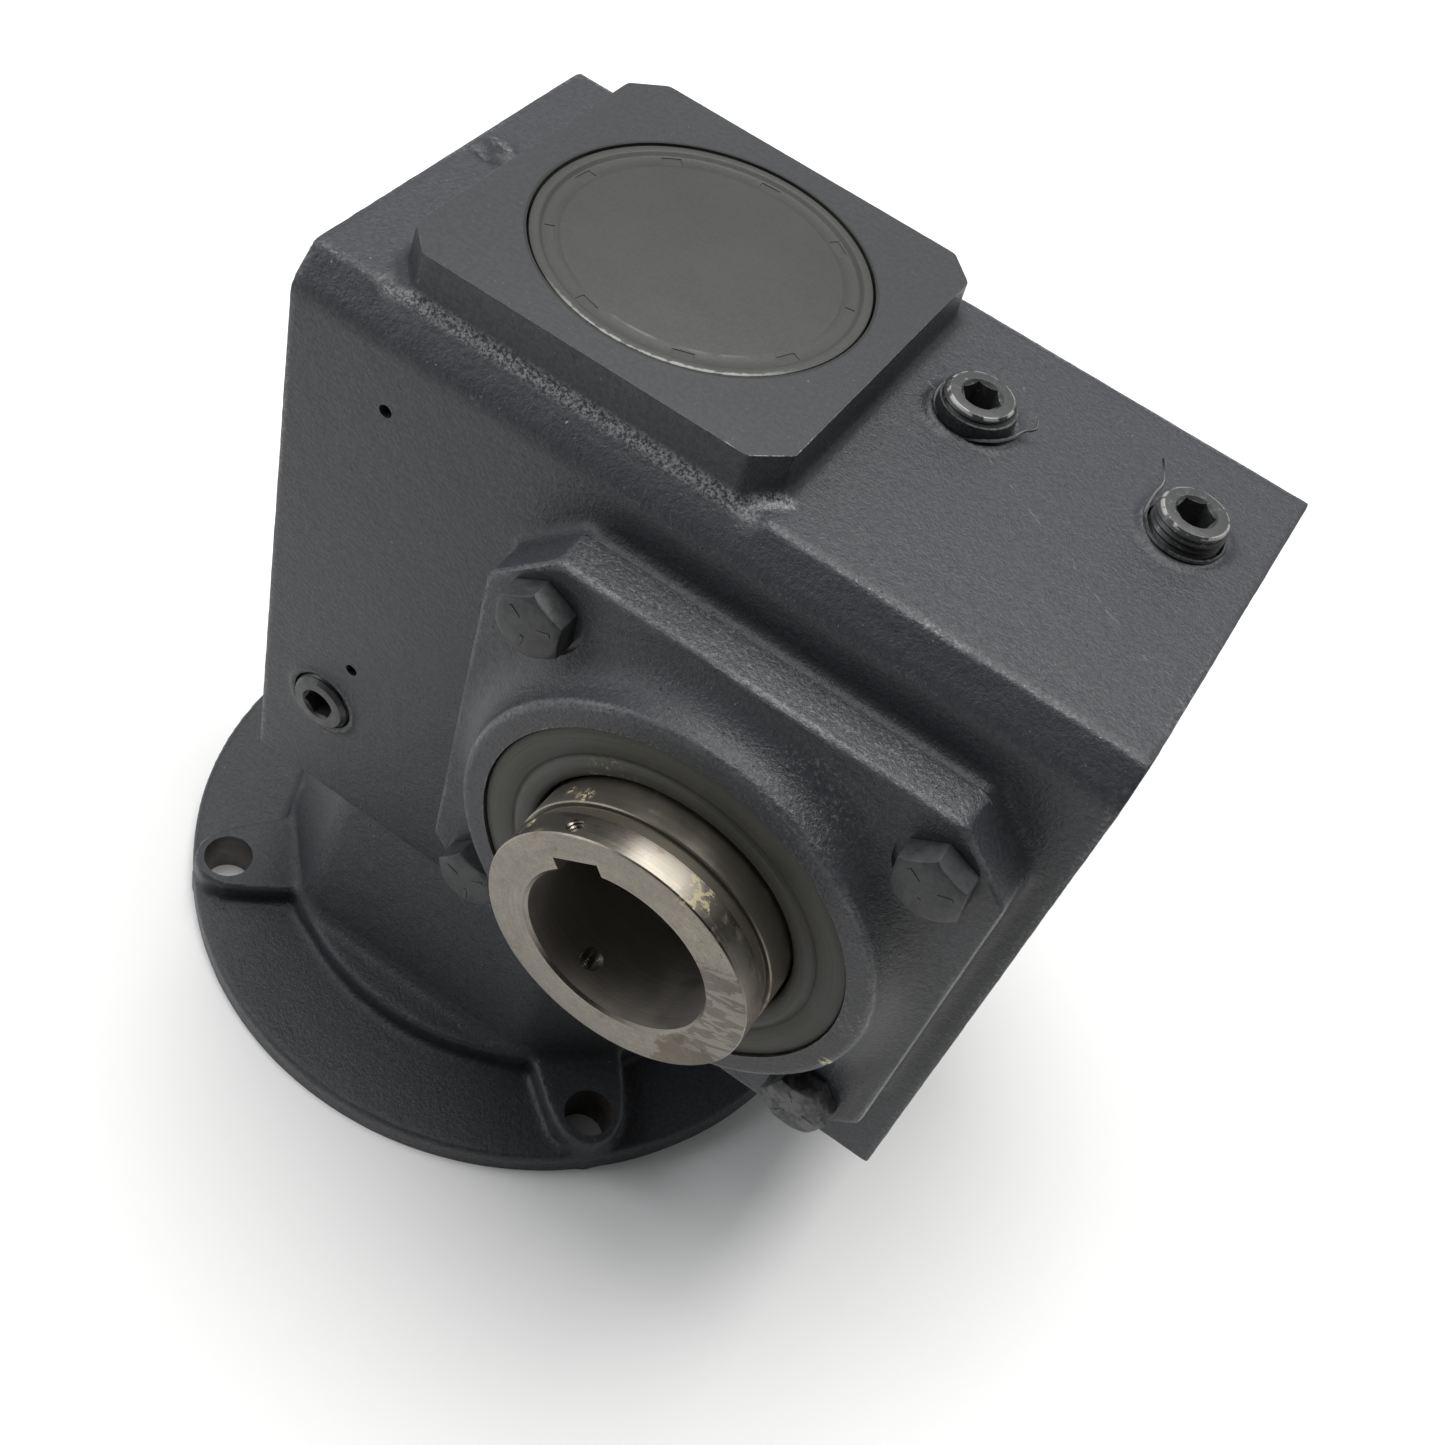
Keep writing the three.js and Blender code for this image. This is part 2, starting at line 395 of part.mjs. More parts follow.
// ---------------------------------------------------------------- worm bearings
{
  const inner = turn([[15.1, -8], [15.1, 8], [20.3, 8], [20.3, 4.2], [19.0, 0], [20.3, -4.2], [20.3, -8]], 24);
  const outerRing = turn([[30.9, -7.95], [30.9, 7.95], [25.8, 7.95], [25.8, 4.2], [27.2, 0], [25.8, -4.2], [25.8, -7.95]], 32);
  let s = solid(turn([[22.0, -5.4], [22.0, 5.4], [24.0, 5.4], [24.0, -5.4]], 18, 10 * DEG));
  const ball = new THREE.SphereGeometry(3.7, 6, 4);
  for (let i = 0; i < 9; i++) {
    const g = ball.clone(); g.rotateX(Math.PI / 2); g.translate(23, 0, 0); g.rotateZ(i * 40 * DEG);
    s = s.add(solid(g));
  }
  const balls = geo(s);
  for (const [n, z] of [['lower', BRG_LOW + BRG_W / 2], ['upper', BRG_UP + BRG_W / 2]]) {
    put(unit, `worm_${n}_bearing_outer_ring`, outerRing, raceSteel, 0, 0, z);
    put(unit, `worm_${n}_bearing_inner_ring`, inner, raceSteel, 0, 0, z);
    put(unit, `worm_${n}_bearing_balls`, balls, cage, 0, 0, z);
  }
  // retaining ring over the upper bearing, open at one side
  const pts = [];
  for (let i = 0; i <= 22; i++) { const a = (15 + i * 15) * DEG; pts.push([32.2 * Math.cos(a), 32.2 * Math.sin(a)]); }
  for (let i = 22; i >= 0; i--) { const a = (15 + i * 15) * DEG, r = 28.2 - (i < 1 || i > 21 ? 1.4 : 0); pts.push([r * Math.cos(a), r * Math.sin(a)]); }
  put(unit, 'worm_retaining_ring', plate(pts, 176.4, 177.9), raceSteel);
  put(unit, 'end_cap', turn([[0, 192.6], [0, 194.5], [28.2, 194.5], [28.7, 195.2], [30.4, 195.2], [30.85, 194.8], [30.85, 187.2], [27.5, 187.2], [27.5, 192.6]], 32), capPaint);
}

// ---------------------------------------------------------------- pipe plugs
{
  const plugGeo = (len) => cut(turn([[0, 0], [6.45, 0], [6.75, 1.2], [6.85, len - 1.0], [6.0, len], [0, len]], 12), plate(hexPts(6.35), len - 6, len + 1));
  put(unit, 'top_plug_1', plugGeo(11), plugMetal, 52.6, 11.0, 180.8, 0.1);
  put(unit, 'top_plug_2', plugGeo(11), plugMetal, 94.2, 12.9, 181.3, 0.35);
  const front = new THREE.Group(); front.position.set(-36.6, -37.4, 79.7); front.rotation.x = Math.PI / 2; unit.add(front);
  put(front, 'front_plug', plugGeo(9.2), plugMetal, 0, 0, 0, 0.25);
  const rearG = new THREE.Group(); rearG.position.set(-36.6, 37.4, 79.7); rearG.rotation.x = -Math.PI / 2; unit.add(rearG);
  put(rearG, 'rear_plug', plugGeo(9.2), plugMetal, 0, 0, 0, 0.6);
}

export default group;
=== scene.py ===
import math

import bmesh
import bpy
import numpy as np
from mathutils import Matrix, Vector


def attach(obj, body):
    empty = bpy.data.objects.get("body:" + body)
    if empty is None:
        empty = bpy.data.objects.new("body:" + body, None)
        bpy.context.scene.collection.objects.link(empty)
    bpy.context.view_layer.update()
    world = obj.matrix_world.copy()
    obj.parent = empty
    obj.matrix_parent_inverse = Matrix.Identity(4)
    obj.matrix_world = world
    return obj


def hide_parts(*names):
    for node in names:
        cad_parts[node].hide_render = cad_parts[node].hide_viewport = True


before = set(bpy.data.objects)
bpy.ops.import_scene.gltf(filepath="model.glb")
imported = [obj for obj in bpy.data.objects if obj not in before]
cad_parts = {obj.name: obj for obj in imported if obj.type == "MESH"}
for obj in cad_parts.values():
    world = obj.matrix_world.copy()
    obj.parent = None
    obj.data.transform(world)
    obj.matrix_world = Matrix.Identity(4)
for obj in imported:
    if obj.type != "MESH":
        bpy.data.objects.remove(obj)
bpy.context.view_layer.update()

# ------------------------------------------------------------------ frame
# Everything is drawn in millimetres in the frame of the worm axis, then put in the row frame.
SHIFT = (110.0 - 82.55) / 2
OX, OZ = 52.4, 119.2                      # output axis
TOP = 186.9                               # top of the case
PADTOP = 195.4


def row(V):
    V = np.asarray(V, float).reshape(-1, 3)
    return np.column_stack([(V[:, 0] - SHIFT) / 1000, V[:, 1] / 1000, V[:, 2] / 1000])


def front(P):                             # local z points out of the front face
    P = np.asarray(P, float).reshape(-1, 3)
    return np.column_stack([OX + P[:, 0], -P[:, 2], OZ + P[:, 1]])


def rear(P):
    P = np.asarray(P, float).reshape(-1, 3)
    return np.column_stack([OX + P[:, 0], P[:, 2], OZ - P[:, 1]])


# ------------------------------------------------------------------ mesh helpers
def volume(V, F):
    v = 0.0
    for f in F:
        a = V[f[0]]
        for i in range(1, len(f) - 1):
            v += float(np.dot(a, np.cross(V[f[i]], V[f[i + 1]])))
    return v


class Geo:
    """Points in mm and faces; joins, transforms, turns outward."""

    def __init__(self, V, F):
        self.V = np.asarray(V, float).reshape(-1, 3)
        self.F = [tuple(int(i) for i in f) for f in F]

    def map(self, fn):
        return Geo(fn(self.V), self.F).out()

    def out(self):
        if volume(self.V, self.F) < 0:
            self.F = [tuple(reversed(f)) for f in self.F]
        return self

    def move(self, x=0, y=0, z=0):
        return Geo(self.V + np.array([x, y, z]), self.F)

    def rotz(self, a):
        c, s = math.cos(a), math.sin(a)
        V = self.V.copy()
        V[:, 0], V[:, 1] = self.V[:, 0] * c - self.V[:, 1] * s, self.V[:, 0] * s + self.V[:, 1] * c
        return Geo(V, self.F)

    def __add__(self, o):
        n = len(self.V)
        return Geo(np.vstack([self.V, o.V]), self.F + [tuple(i + n for i in f) for f in o.F])


def lathe(pts, n=96, wobble=None):
    """Closed (r, z) outline turned about Z."""
    V, rings = [], []
    ang = np.arange(n) * 2 * math.pi / n
    for r, z in pts:
        if r < 1e-9:
            rings.append([len(V)])
            V.append((0, 0, z))
        else:
            rings.append(list(range(len(V), len(V) + n)))
            for a in ang:
                rr = r if wobble is None else r + wobble(r, a, z)
                V.append((rr * math.cos(a), rr * math.sin(a), z))
    F = []
    m = len(pts)
    for k in range(m):
        A, B = rings[k], rings[(k + 1) % m]
        if len(A) == 1 and len(B) == 1:
            continue
        for i in range(n):
            j = (i + 1) % n
            if len(A) == 1:
                F.append((A[0], B[j], B[i]))
            elif len(B) == 1:
                F.append((A[i], A[j], B[0]))
            else:
                F.append((A[i], A[j], B[j], B[i]))
    return Geo(V, F).out()


def rod(r, z0, z1, n=64):
    return lathe([(0, z0), (r, z0), (r, z1), (0, z1)], n)


def prism(pts, z0, z1):
    n = len(pts)
    V = [(x, y, z0) for x, y in pts] + [(x, y, z1) for x, y in pts]
    F = [tuple(range(n - 1, -1, -1)), tuple(range(n, 2 * n))]
    F += [(i, (i + 1) % n, n + (i + 1) % n, n + i) for i in range(n)]
    return Geo(V, F).out()


def block(x0, x1, y0, y1, z0, z1):
    return prism([(x0, y0), (x1, y0), (x1, y1), (x0, y1)], z0, z1)


def hexagon(af, a0=0.0):
    r = af / 2 / math.cos(math.radians(30))
    return [(r * math.cos(a0 + i * math.pi / 3), r * math.sin(a0 + i * math.pi / 3)) for i in range(6)]


def threaded(r_of, z0, z1, pitch, depth, n=48, step=0.2, hand=1):
    """A rod whose wall is a helical V thread; r_of(z) is the crest radius."""
    zs = np.arange(z0, z1 + 1e-6, step)
    zs[-1] = z1
    ang = np.arange(n) * 2 * math.pi / n
    V = []
    for z in zs:
        ph = (z / pitch - hand * ang / (2 * math.pi)) % 1.0
        tri = np.abs(ph * 2 - 1)                      # 1 at a crest
        tri = np.clip(tri * 1.25 - 0.12, 0, 1)
        rr = r_of(z) - depth * (1 - tri)
        for a, r in zip(ang, rr):
            V.append((r * math.cos(a), r * math.sin(a), z))
    F = []
    for k in range(len(zs) - 1):
        for i in range(n):
            j = (i + 1) % n
            F.append((k * n + i, k * n + j, (k + 1) * n + j, (k + 1) * n + i))
    F.append(tuple(range(n - 1, -1, -1)))
    top = (len(zs) - 1) * n
    F.append(tuple(range(top, top + n)))
    return Geo(V, F).out()


def to_mesh(name, geo):
    me = bpy.data.meshes.new(name)
    me.from_pydata([tuple(p) for p in row(geo.V)], [], geo.F)
    me.validate()
    me.update()
    return me


def add_object(name, me):
    o = bpy.data.objects.new(name, me)
    bpy.context.scene.collection.objects.link(o)
    return o


def applied(o):
    """The object's mesh with its modifiers applied."""
    bpy.context.view_layer.update()
    dg = bpy.context.evaluated_depsgraph_get()
    me = bpy.data.meshes.new_from_object(o.evaluated_get(dg))
    old = o.data
    o.modifiers.clear()
    o.data = me
    me.name = o.name
    bpy.data.meshes.remove(old)
    return o


def boolean(o, *cutters, op="DIFFERENCE", solver="MANIFOLD"):
    for c in cutters:
        me = c if isinstance(c, bpy.types.Mesh) else to_mesh("cutter", c)
        t = add_object("cutter", me)
        before = len(o.data.polygons)
        m = o.modifiers.new("cut", "BOOLEAN")
        m.object, m.operation, m.solver = t, op, solver
        try:
            m.material_mode = "TRANSFER"
        except Exception:
            pass
        applied(o)
        bpy.data.objects.remove(t)
        if not len(o.data.polygons):
            raise RuntimeError("boolean on " + o.name + " left nothing")
    return o


def bevel(o, width, segments=2, angle=30):
    m = o.modifiers.new("bevel", "BEVEL")
    m.width, m.segments = width / 1000, segments
    m.limit_method, m.angle_limit = "ANGLE", math.radians(angle)
    m.harden_normals = False
    return applied(o)


def smooth(o, angle=32):
    me = o.data
    me.shade_smooth()
    me.set_sharp_from_angle(angle=math.radians(angle))
    return o


def piece(name, geo, body, mat, replaces=(), angle=32, bev=0, seg=2, cut=(), bev_angle=30):
    o = add_object(name, to_mesh(name, geo) if isinstance(geo, Geo) else geo)
    o.data.materials.clear()
    o.data.materials.append(mat)
    if cut:
        boolean(o, *cut)
    if bev:
        bevel(o, bev, seg, bev_angle)
    smooth(o, angle)
    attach(o, body)
    if replaces:
        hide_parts(*([replaces] if isinstance(replaces, str) else replaces))
    return o


# ------------------------------------------------------------------ distance fields
def U(a, b, r):                            # join with a hollow fillet of radius r
    return np.maximum(r, np.minimum(a, b)) - np.sqrt(np.maximum(r - a, 0) ** 2 + np.maximum(r - b, 0) ** 2)


def I(a, b, r):                            # common part with a round edge of radius r
    return np.minimum(-r, np.maximum(a, b)) + np.sqrt(np.maximum(r + a, 0) ** 2 + np.maximum(r + b, 0) ** 2)


def octagon(x, y, h, c, r=0.0):
    q = math.sqrt(2)
    ax, ay = np.abs(x), np.abs(y)
    d = I(ax - h, ay - h, max(r, 1e-4)) if r else np.maximum(ax - h, ay - h)
    e = (ax + ay) / q - (2 * h - c) / q
    return I(d, e, r) if r else np.maximum(d, e)


def lattice(seed, n=64):
    return np.random.RandomState(seed).rand(n, n, n).astype(np.float32)


_lat = {}


def vnoise(P, scale, seed):
    """Smooth value noise from -1 to 1 at points P, features about 1/scale mm."""
    L = _lat.setdefault(seed, lattice(seed))
    q = P * scale
    i = np.floor(q).astype(int)
    f = (q - i).astype(np.float32)
    f = f * f * (3 - 2 * f)
    n = L.shape[0]
    out = np.zeros(len(P), np.float32)
    for dx in (0, 1):
        wx = f[:, 0] if dx else 1 - f[:, 0]
        for dy in (0, 1):
            wy = f[:, 1] if dy else 1 - f[:, 1]
            for dz in (0, 1):
                wz = f[:, 2] if dz else 1 - f[:, 2]
                out += wx * wy * wz * L[(i[:, 0] + dx) % n, (i[:, 1] + dy) % n, (i[:, 2] + dz) % n]
    return out * 2 - 1


def grid(lo, hi, h):
    ax = [np.arange(lo[k] - 2 * h, hi[k] + 2.5 * h, h, dtype=np.float32) for k in range(3)]
    X, Y, Z = ax[0][:, None, None], ax[1][None, :, None], ax[2][None, None, :]
    return X, Y, Z, np.array([ax[0][0], ax[1][0], ax[2][0]], float)


def sample(vol, P, origin, h):
    q = (P - origin) / h
    n = np.array(vol.shape)
    q = np.clip(q, 0, n - 1.001)
    i = q.astype(int)
    f = q - i
    out = np.zeros(len(P))
    for dx in (0, 1):
        for dy in (0, 1):
            for dz in (0, 1):
                w = (f[:, 0] if dx else 1 - f[:, 0]) * (f[:, 1] if dy else 1 - f[:, 1]) * (f[:, 2] if dz else 1 - f[:, 2])
                out += w * vol[i[:, 0] + dx, i[:, 1] + dy, i[:, 2] + dz]
    return out


def blur(vol, r, h):
    v = np.clip(vol, -6 * h, 6 * h).astype(np.float32)
    for axis in range(3):
        acc = np.zeros_like(v)
        for s in range(-r, r + 1):
            acc += np.roll(v, s, axis)
        v = acc / (2 * r + 1)
    return v


def nets(vol, origin, h):
    """Surface nets: one point in every cell that the surface crosses, one quad for every edge that it crosses."""
    s = vol < 0
    for axis in range(3):                  # closed at the grid's own walls
        sl = [slice(None)] * 3
        for e in (0, -1):
            sl[axis] = e
            vol[tuple(sl)] = np.maximum(vol[tuple(sl)], 0.1)
            s[tuple(sl)] = False
    nx, ny, nz = vol.shape
    c = s.astype(np.uint8)
    tot = np.zeros((nx - 1, ny - 1, nz - 1), np.uint8)
    for dx in (0, 1):
        for dy in (0, 1):
            for dz in (0, 1):
                tot += c[dx:nx - 1 + dx, dy:ny - 1 + dy, dz:nz - 1 + dz]
    cells = np.argwhere((tot > 0) & (tot < 8))
    vid = np.full(tot.shape, -1, np.int64)
    vid[cells[:, 0], cells[:, 1], cells[:, 2]] = np.arange(len(cells))
    acc = np.zeros((len(cells), 3))
    cnt = np.zeros(len(cells))
    for axis in range(3):
        o1, o2 = [k for k in range(3) if k != axis]
        for a in (0, 1):
            for b in (0, 1):
                p = cells.copy()
                p[:, o1] += a
                p[:, o2] += b
                q = p.copy()
                q[:, axis] += 1
                va = vol[p[:, 0], p[:, 1], p[:, 2]]
                vb = vol[q[:, 0], q[:, 1], q[:, 2]]
                x = (va < 0) != (vb < 0)
                t = np.where(x, va / np.where(x, va - vb, 1), 0)
                pt = p.astype(float)
                pt[:, axis] += t
                acc += np.where(x[:, None], pt, 0)
                cnt += x
    V = origin + h * acc / cnt[:, None]
    quads = []
    for axis in range(3):
        o1, o2 = [k for k in range(3) if k != axis]
        lo = [slice(None)] * 3
        hi = [slice(None)] * 3
        lo[axis], hi[axis] = slice(0, -1), slice(1, None)
        a, b = s[tuple(lo)], s[tuple(hi)]
        for sign in (0, 1):
            e = np.argwhere((a & ~b) if sign == 0 else (~a & b))
            e = e[(e[:, o1] > 0) & (e[:, o2] > 0)]
            def at(d1, d2):
                k = e.copy()
                k[:, o1] -= d1
                k[:, o2] -= d2
                return vid[k[:, 0], k[:, 1], k[:, 2]]
            q = np.stack([at(0, 0), at(1, 0), at(1, 1), at(0, 1)], 1)
            flip = (sign == 1) ^ (axis == 1)
            quads.append(q[:, ::-1] if flip else q)
    return V, np.vstack(quads)


def quads_mesh(name, V, Q):
    me = bpy.data.meshes.new(name)
    me.vertices.add(len(V))
    me.vertices.foreach_set("co", row(V).astype(np.float32).ravel())
    me.loops.add(len(Q) * 4)
    me.loops.foreach_set("vertex_index", Q.astype(np.int32).ravel())
    me.polygons.add(len(Q))
    me.polygons.foreach_set("loop_start", np.arange(0, len(Q) * 4, 4, dtype=np.int32))
    me.update(calc_edges=True)
    me.validate()
    return me


def flange_mm(me):
    co = np.zeros(len(me.vertices) * 3, np.float32)
    me.vertices.foreach_get("co", co)
    P = co.reshape(-1, 3).astype(float) * 1000
    P[:, 0] += SHIFT
    return P


def casting(name, fn, lo, hi, h, mats, body, replaces, cutters=(), rough=0.09, place=None, still=None, faces=None, angle=34):
    """A casting from its distance field: fn(X, Y, Z) in mm, with soft cast edges, then clean machined cuts."""
    X, Y, Z, origin = grid(lo, hi, h)
    vol = np.ascontiguousarray(np.broadcast_to(fn(X, Y, Z), (X.shape[0], Y.shape[1], Z.shape[2]))).astype(np.float32)
    soft = blur(vol, 2, h) - np.clip(vol, -6 * h, 6 * h)
    V, Q = nets(vol, origin, h)
    # a sand cast and thickly painted skin is never quite flat; it only ever goes inward
    g = np.stack([sample(vol, V + d, origin, h) - sample(vol, V - d, origin, h) for d in np.eye(3) * 0.6 * h], 1)
    g /= np.linalg.norm(g, axis=1)[:, None] + 1e-9
    a = 0.55 * vnoise(V, 0.36, 3) + 0.45 * vnoise(V, 0.8 / (h / 0.8), 5) + 0.5 * vnoise(V, 0.07, 7)
    amount = rough * (0.5 - 0.5 * np.clip(a, -1, 1))
    if still is not None:
        amount = amount * still(V, g)
    W = V - g * amount[:, None]
    if place is not None:
        W = place(W)
    if float(np.einsum("ij,ij->i", W[Q[:, 0]], np.cross(W[Q[:, 1]], W[Q[:, 2]])).sum()) < 0:
        Q = Q[:, ::-1]
    o = add_object(name, quads_mesh(name, W, Q))
    for m in mats:
        o.data.materials.append(m)
    if cutters:
        boolean(o, *cutters)
    me = o.data
    P = flange_mm(me)
    if place is not None:                  # back to the field's own frame, to read it
        P = {"front": lambda p: np.column_stack([p[:, 0] - OX, p[:, 2] - OZ, -p[:, 1]]),
             "rear": lambda p: np.column_stack([p[:, 0] - OX, OZ - p[:, 2], p[:, 1]])}[place.__name__](P)
    k = sample(soft, P, origin, h) / h
    # wear marks the convex edges; cavity marks the hollows and fillets, which the paint darkens as painted shade
    for nm, val in (("wear", np.clip(k * 3.2, 0, 1)), ("cavity_shade", np.clip(-k * 2.6, 0, 1))):
        at = me.attributes.new(nm, "FLOAT", "POINT")
        at.data.foreach_set("value", val.astype(np.float32))
    n = len(me.polygons)
    idx = np.zeros(n, np.int32)
    if faces is not None:
        nor = np.zeros(n * 3, np.float32)
        cen = np.zeros(n * 3, np.float32)
        me.polygons.foreach_get("normal", nor)
        me.polygons.foreach_get("center", cen)
        cen = cen.reshape(-1, 3).astype(float) * 1000
        cen[:, 0] += SHIFT
        idx = faces(cen, nor.reshape(-1, 3)).astype(np.int32)
    me.polygons.foreach_set("material_index", idx)
    smooth(o, angle)
    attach(o, body)
    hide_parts(*replaces)
    return o


# ------------------------------------------------------------------ materials
class Mat:
    def __init__(self, name, **base):
        self.m = bpy.data.materials.new(name)
        self.m.use_nodes = True
        self.nt = self.m.node_tree
        self.nt.nodes.clear()
        self.b = self.nt.nodes.new("ShaderNodeBsdfPrincipled")
        out = self.nt.nodes.new("ShaderNodeOutputMaterial")
        self.nt.links.new(self.b.outputs[0], out.inputs[0])
        tc = self.nt.nodes.new("ShaderNodeTexCoord")
        v = self.vec("MULTIPLY", tc.outputs["Object"], (1000, 1000, 1000))
        self.P = self.vec("ADD", v, (SHIFT, 0, 0))       # mm, worm axis frame
        sep = self.nt.nodes.new("ShaderNodeSeparateXYZ")
        self.nt.links.new(self.P, sep.inputs[0])
        self.x, self.y, self.z = sep.outputs
        for k, v in base.items():
            self.b.inputs[k].default_value = v

    def link(self, src, socket):
        if isinstance(src, bpy.types.NodeSocket):
            self.nt.links.new(src, socket)
        elif src is not None:
            socket.default_value = src

    def vec(self, op, a, b=None):
        n = self.nt.nodes.new("ShaderNodeVectorMath")
        n.operation = op
        self.link(a, n.inputs[0])
        if b is not None:
            self.link(b, n.inputs[1])
        return n.outputs["Value"] if op in ("LENGTH", "DOT_PRODUCT", "DISTANCE") else n.outputs["Vector"]

    def math(self, op, a, b=None, c=None, clamp=False):
        n = self.nt.nodes.new("ShaderNodeMath")
        n.operation, n.use_clamp = op, clamp
        for i, v in enumerate((a, b, c)):
            if v is not None:
                self.link(v, n.inputs[i])
        return n.outputs[0]

    def add(self, a, b): return self.math("ADD", a, b)
    def sub(self, a, b): return self.math("SUBTRACT", a, b)
    def mul(self, a, b): return self.math("MULTIPLY", a, b)
    def abs(self, a): return self.math("ABSOLUTE", a)
    def max(self, a, b): return self.math("MAXIMUM", a, b)
    def min(self, a, b): return self.math("MINIMUM", a, b)

    def xyz(self, x, y, z):
        n = self.nt.nodes.new("ShaderNodeCombineXYZ")
        for i, v in enumerate((x, y, z)):
            self.link(v, n.inputs[i])
        return n.outputs[0]

    def noise(self, scale, detail=2.0, rough=0.5, vec=None, dist=0.0, dims="3D"):
        n = self.nt.nodes.new("ShaderNodeTexNoise")
        n.noise_dimensions = dims
        self.link(self.P if vec is None else vec, n.inputs["Vector"])
        n.inputs["Scale"].default_value = scale
        n.inputs["Detail"].default_value = detail
        n.inputs["Roughness"].default_value = rough
        n.inputs["Distortion"].default_value = dist
        return n.outputs["Fac"]

    def cells(self, scale, feature="F1", vec=None, out="Distance", rnd=1.0):
        n = self.nt.nodes.new("ShaderNodeTexVoronoi")
        n.feature = feature
        self.link(self.P if vec is None else vec, n.inputs["Vector"])
        n.inputs["Scale"].default_value = scale
        n.inputs["Randomness"].default_value = rnd
        return n.outputs[out]

    def step(self, v, lo, hi, a=0.0, b=1.0):
        n = self.nt.nodes.new("ShaderNodeMapRange")
        n.interpolation_type = "SMOOTHSTEP"
        n.clamp = True
        self.link(v, n.inputs["Value"])
        n.inputs["From Min"].default_value = lo
        n.inputs["From Max"].default_value = hi
        n.inputs["To Min"].default_value = a
        n.inputs["To Max"].default_value = b
        return n.outputs[0]

    def mix(self, f, a, b, mode="MIX"):
        n = self.nt.nodes.new("ShaderNodeMix")
        n.data_type, n.blend_type = "RGBA", mode
        fac = [i for i in n.inputs if i.name == "Factor" and i.type == "VALUE"][0]
        A = [i for i in n.inputs if i.name == "A" and i.type == "RGBA"][0]
        B = [i for i in n.inputs if i.name == "B" and i.type == "RGBA"][0]
        self.link(f, fac)
        for s, v in ((A, a), (B, b)):
            if isinstance(v, (tuple, list)) and len(v) == 3:
                v = (*v, 1.0)
            self.link(v, s)
        return [o for o in n.outputs if o.type == "RGBA"][0]

    def attr(self, name):
        n = self.nt.nodes.new("ShaderNodeAttribute")
        n.attribute_name = name
        return n.outputs["Fac"]

    def bump(self, height, strength, mm, normal=None):
        n = self.nt.nodes.new("ShaderNodeBump")
        self.link(height, n.inputs["Height"])
        n.inputs["Strength"].default_value = strength
        n.inputs["Distance"].default_value = mm / 1000
        if normal is not None:
            self.link(normal, n.inputs["Normal"])
        return n.outputs[0]

    def radial(self):
        """(r, angle, along) about the output axis."""
        dx, dz = self.sub(self.x, OX), self.sub(self.z, OZ)
        r = self.math("SQRT", self.add(self.mul(dx, dx), self.mul(dz, dz)))
        return r, self.math("ARCTAN2", dz, dx), self.y

    def near(self, x, y, z, r0, r1):
        """1 within r0 mm of a point, falling to 0 at r1."""
        d = self.vec("DISTANCE", self.P, (x, y, z))
        return self.step(d, r0, r1, 1.0, 0.0)

    def done(self, **links):
        for k, v in links.items():
            self.link(v if not (isinstance(v, (tuple, list)) and len(v) == 3) else (*v, 1.0), self.b.inputs[k.replace("_", " ")])
        return self.m


DARK = (0.0245, 0.0262, 0.0305)
MID = (0.036, 0.0385, 0.0435)
PALE = (0.20, 0.205, 0.21)


def cast_paint(name, tone=1.0, grit=1.0, wear_gain=1.0, extra=None, coarse=1.05, attrs=True, tint=(1, 1, 1)):
    m = Mat(name)
    m.b.inputs["Specular IOR Level"].default_value = 0.38
    big = m.noise(0.022, 2.0, 0.5)
    lump = m.noise(0.30, 2.0, 0.5)
    grain = m.noise(coarse, 3.0, 0.62)
    fine = m.noise(1.75, 3.0, 0.7)
    d = tuple(c * tone * t for c, t in zip(DARK, tint))
    l = tuple(c * tone * t for c, t in zip(MID, tint))
    col = m.mix(m.step(grain, 0.34, 0.66), d, l)
    col = m.mix(m.step(big, 0.3, 0.7, 0.0, 0.35), col, m.mix(1.0, col, (1.28, 1.25, 1.2), "MULTIPLY"))
    # dust in the skin and a few bright grains
    speck = m.step(m.noise(1.9, 1.0, 0.5), 0.75, 0.79)
    col = m.mix(m.mul(speck, 0.55), col, (0.17, 0.175, 0.18))
    big_speck = m.step(m.noise(0.9, 1.0, 0.5, m.vec("ADD", m.P, (5.0, 41.0, 17.0))), 0.815, 0.835)
    col = m.mix(m.mul(big_speck, 0.7), col, (0.26, 0.26, 0.255))
    pit = m.step(m.noise(1.35, 1.0, 0.5, m.vec("ADD", m.P, (31.0, 7.0, 3.0))), 0.27, 0.22)
    col = m.mix(m.mul(pit, 0.6), col, (0.008, 0.008, 0.009))
    rough = m.step(grain, 0.2, 0.8, 0.46, 0.34)
    if attrs:
        w = m.attr("wear")
        c = m.attr("cavity_shade")
        worn = m.step(m.add(m.mul(w, 0.9 * wear_gain), m.mul(m.sub(m.noise(1.3, 3.0, 0.7), 0.5), 1.5)), 0.62, 0.95)
        worn = m.mul(worn, m.step(m.noise(0.05, 2.0, 0.5), 0.36, 0.64, 0.12, 1.0))
        col = m.mix(m.mul(worn, 0.42), col, PALE)
        # painted shade: the hollows and fillets are darkened from the cavity value, where less light reaches
        col = m.mix(m.step(c, 0.15, 0.9, 0.0, 0.45), col, (0.011, 0.0115, 0.013))
        rough = m.sub(rough, m.mul(worn, 0.1))
    h = m.add(m.add(m.mul(grain, 0.5), m.mul(lump, 0.25)), m.mul(fine, 0.55))
    h = m.sub(h, m.mul(pit, 0.5))
    nrm = m.bump(h, 0.8 * grit, 0.42)
    if extra is not None:
        col, rough = extra(m, col, rough)
    return m.done(Base_Color=col, Roughness=rough, Normal=nrm)


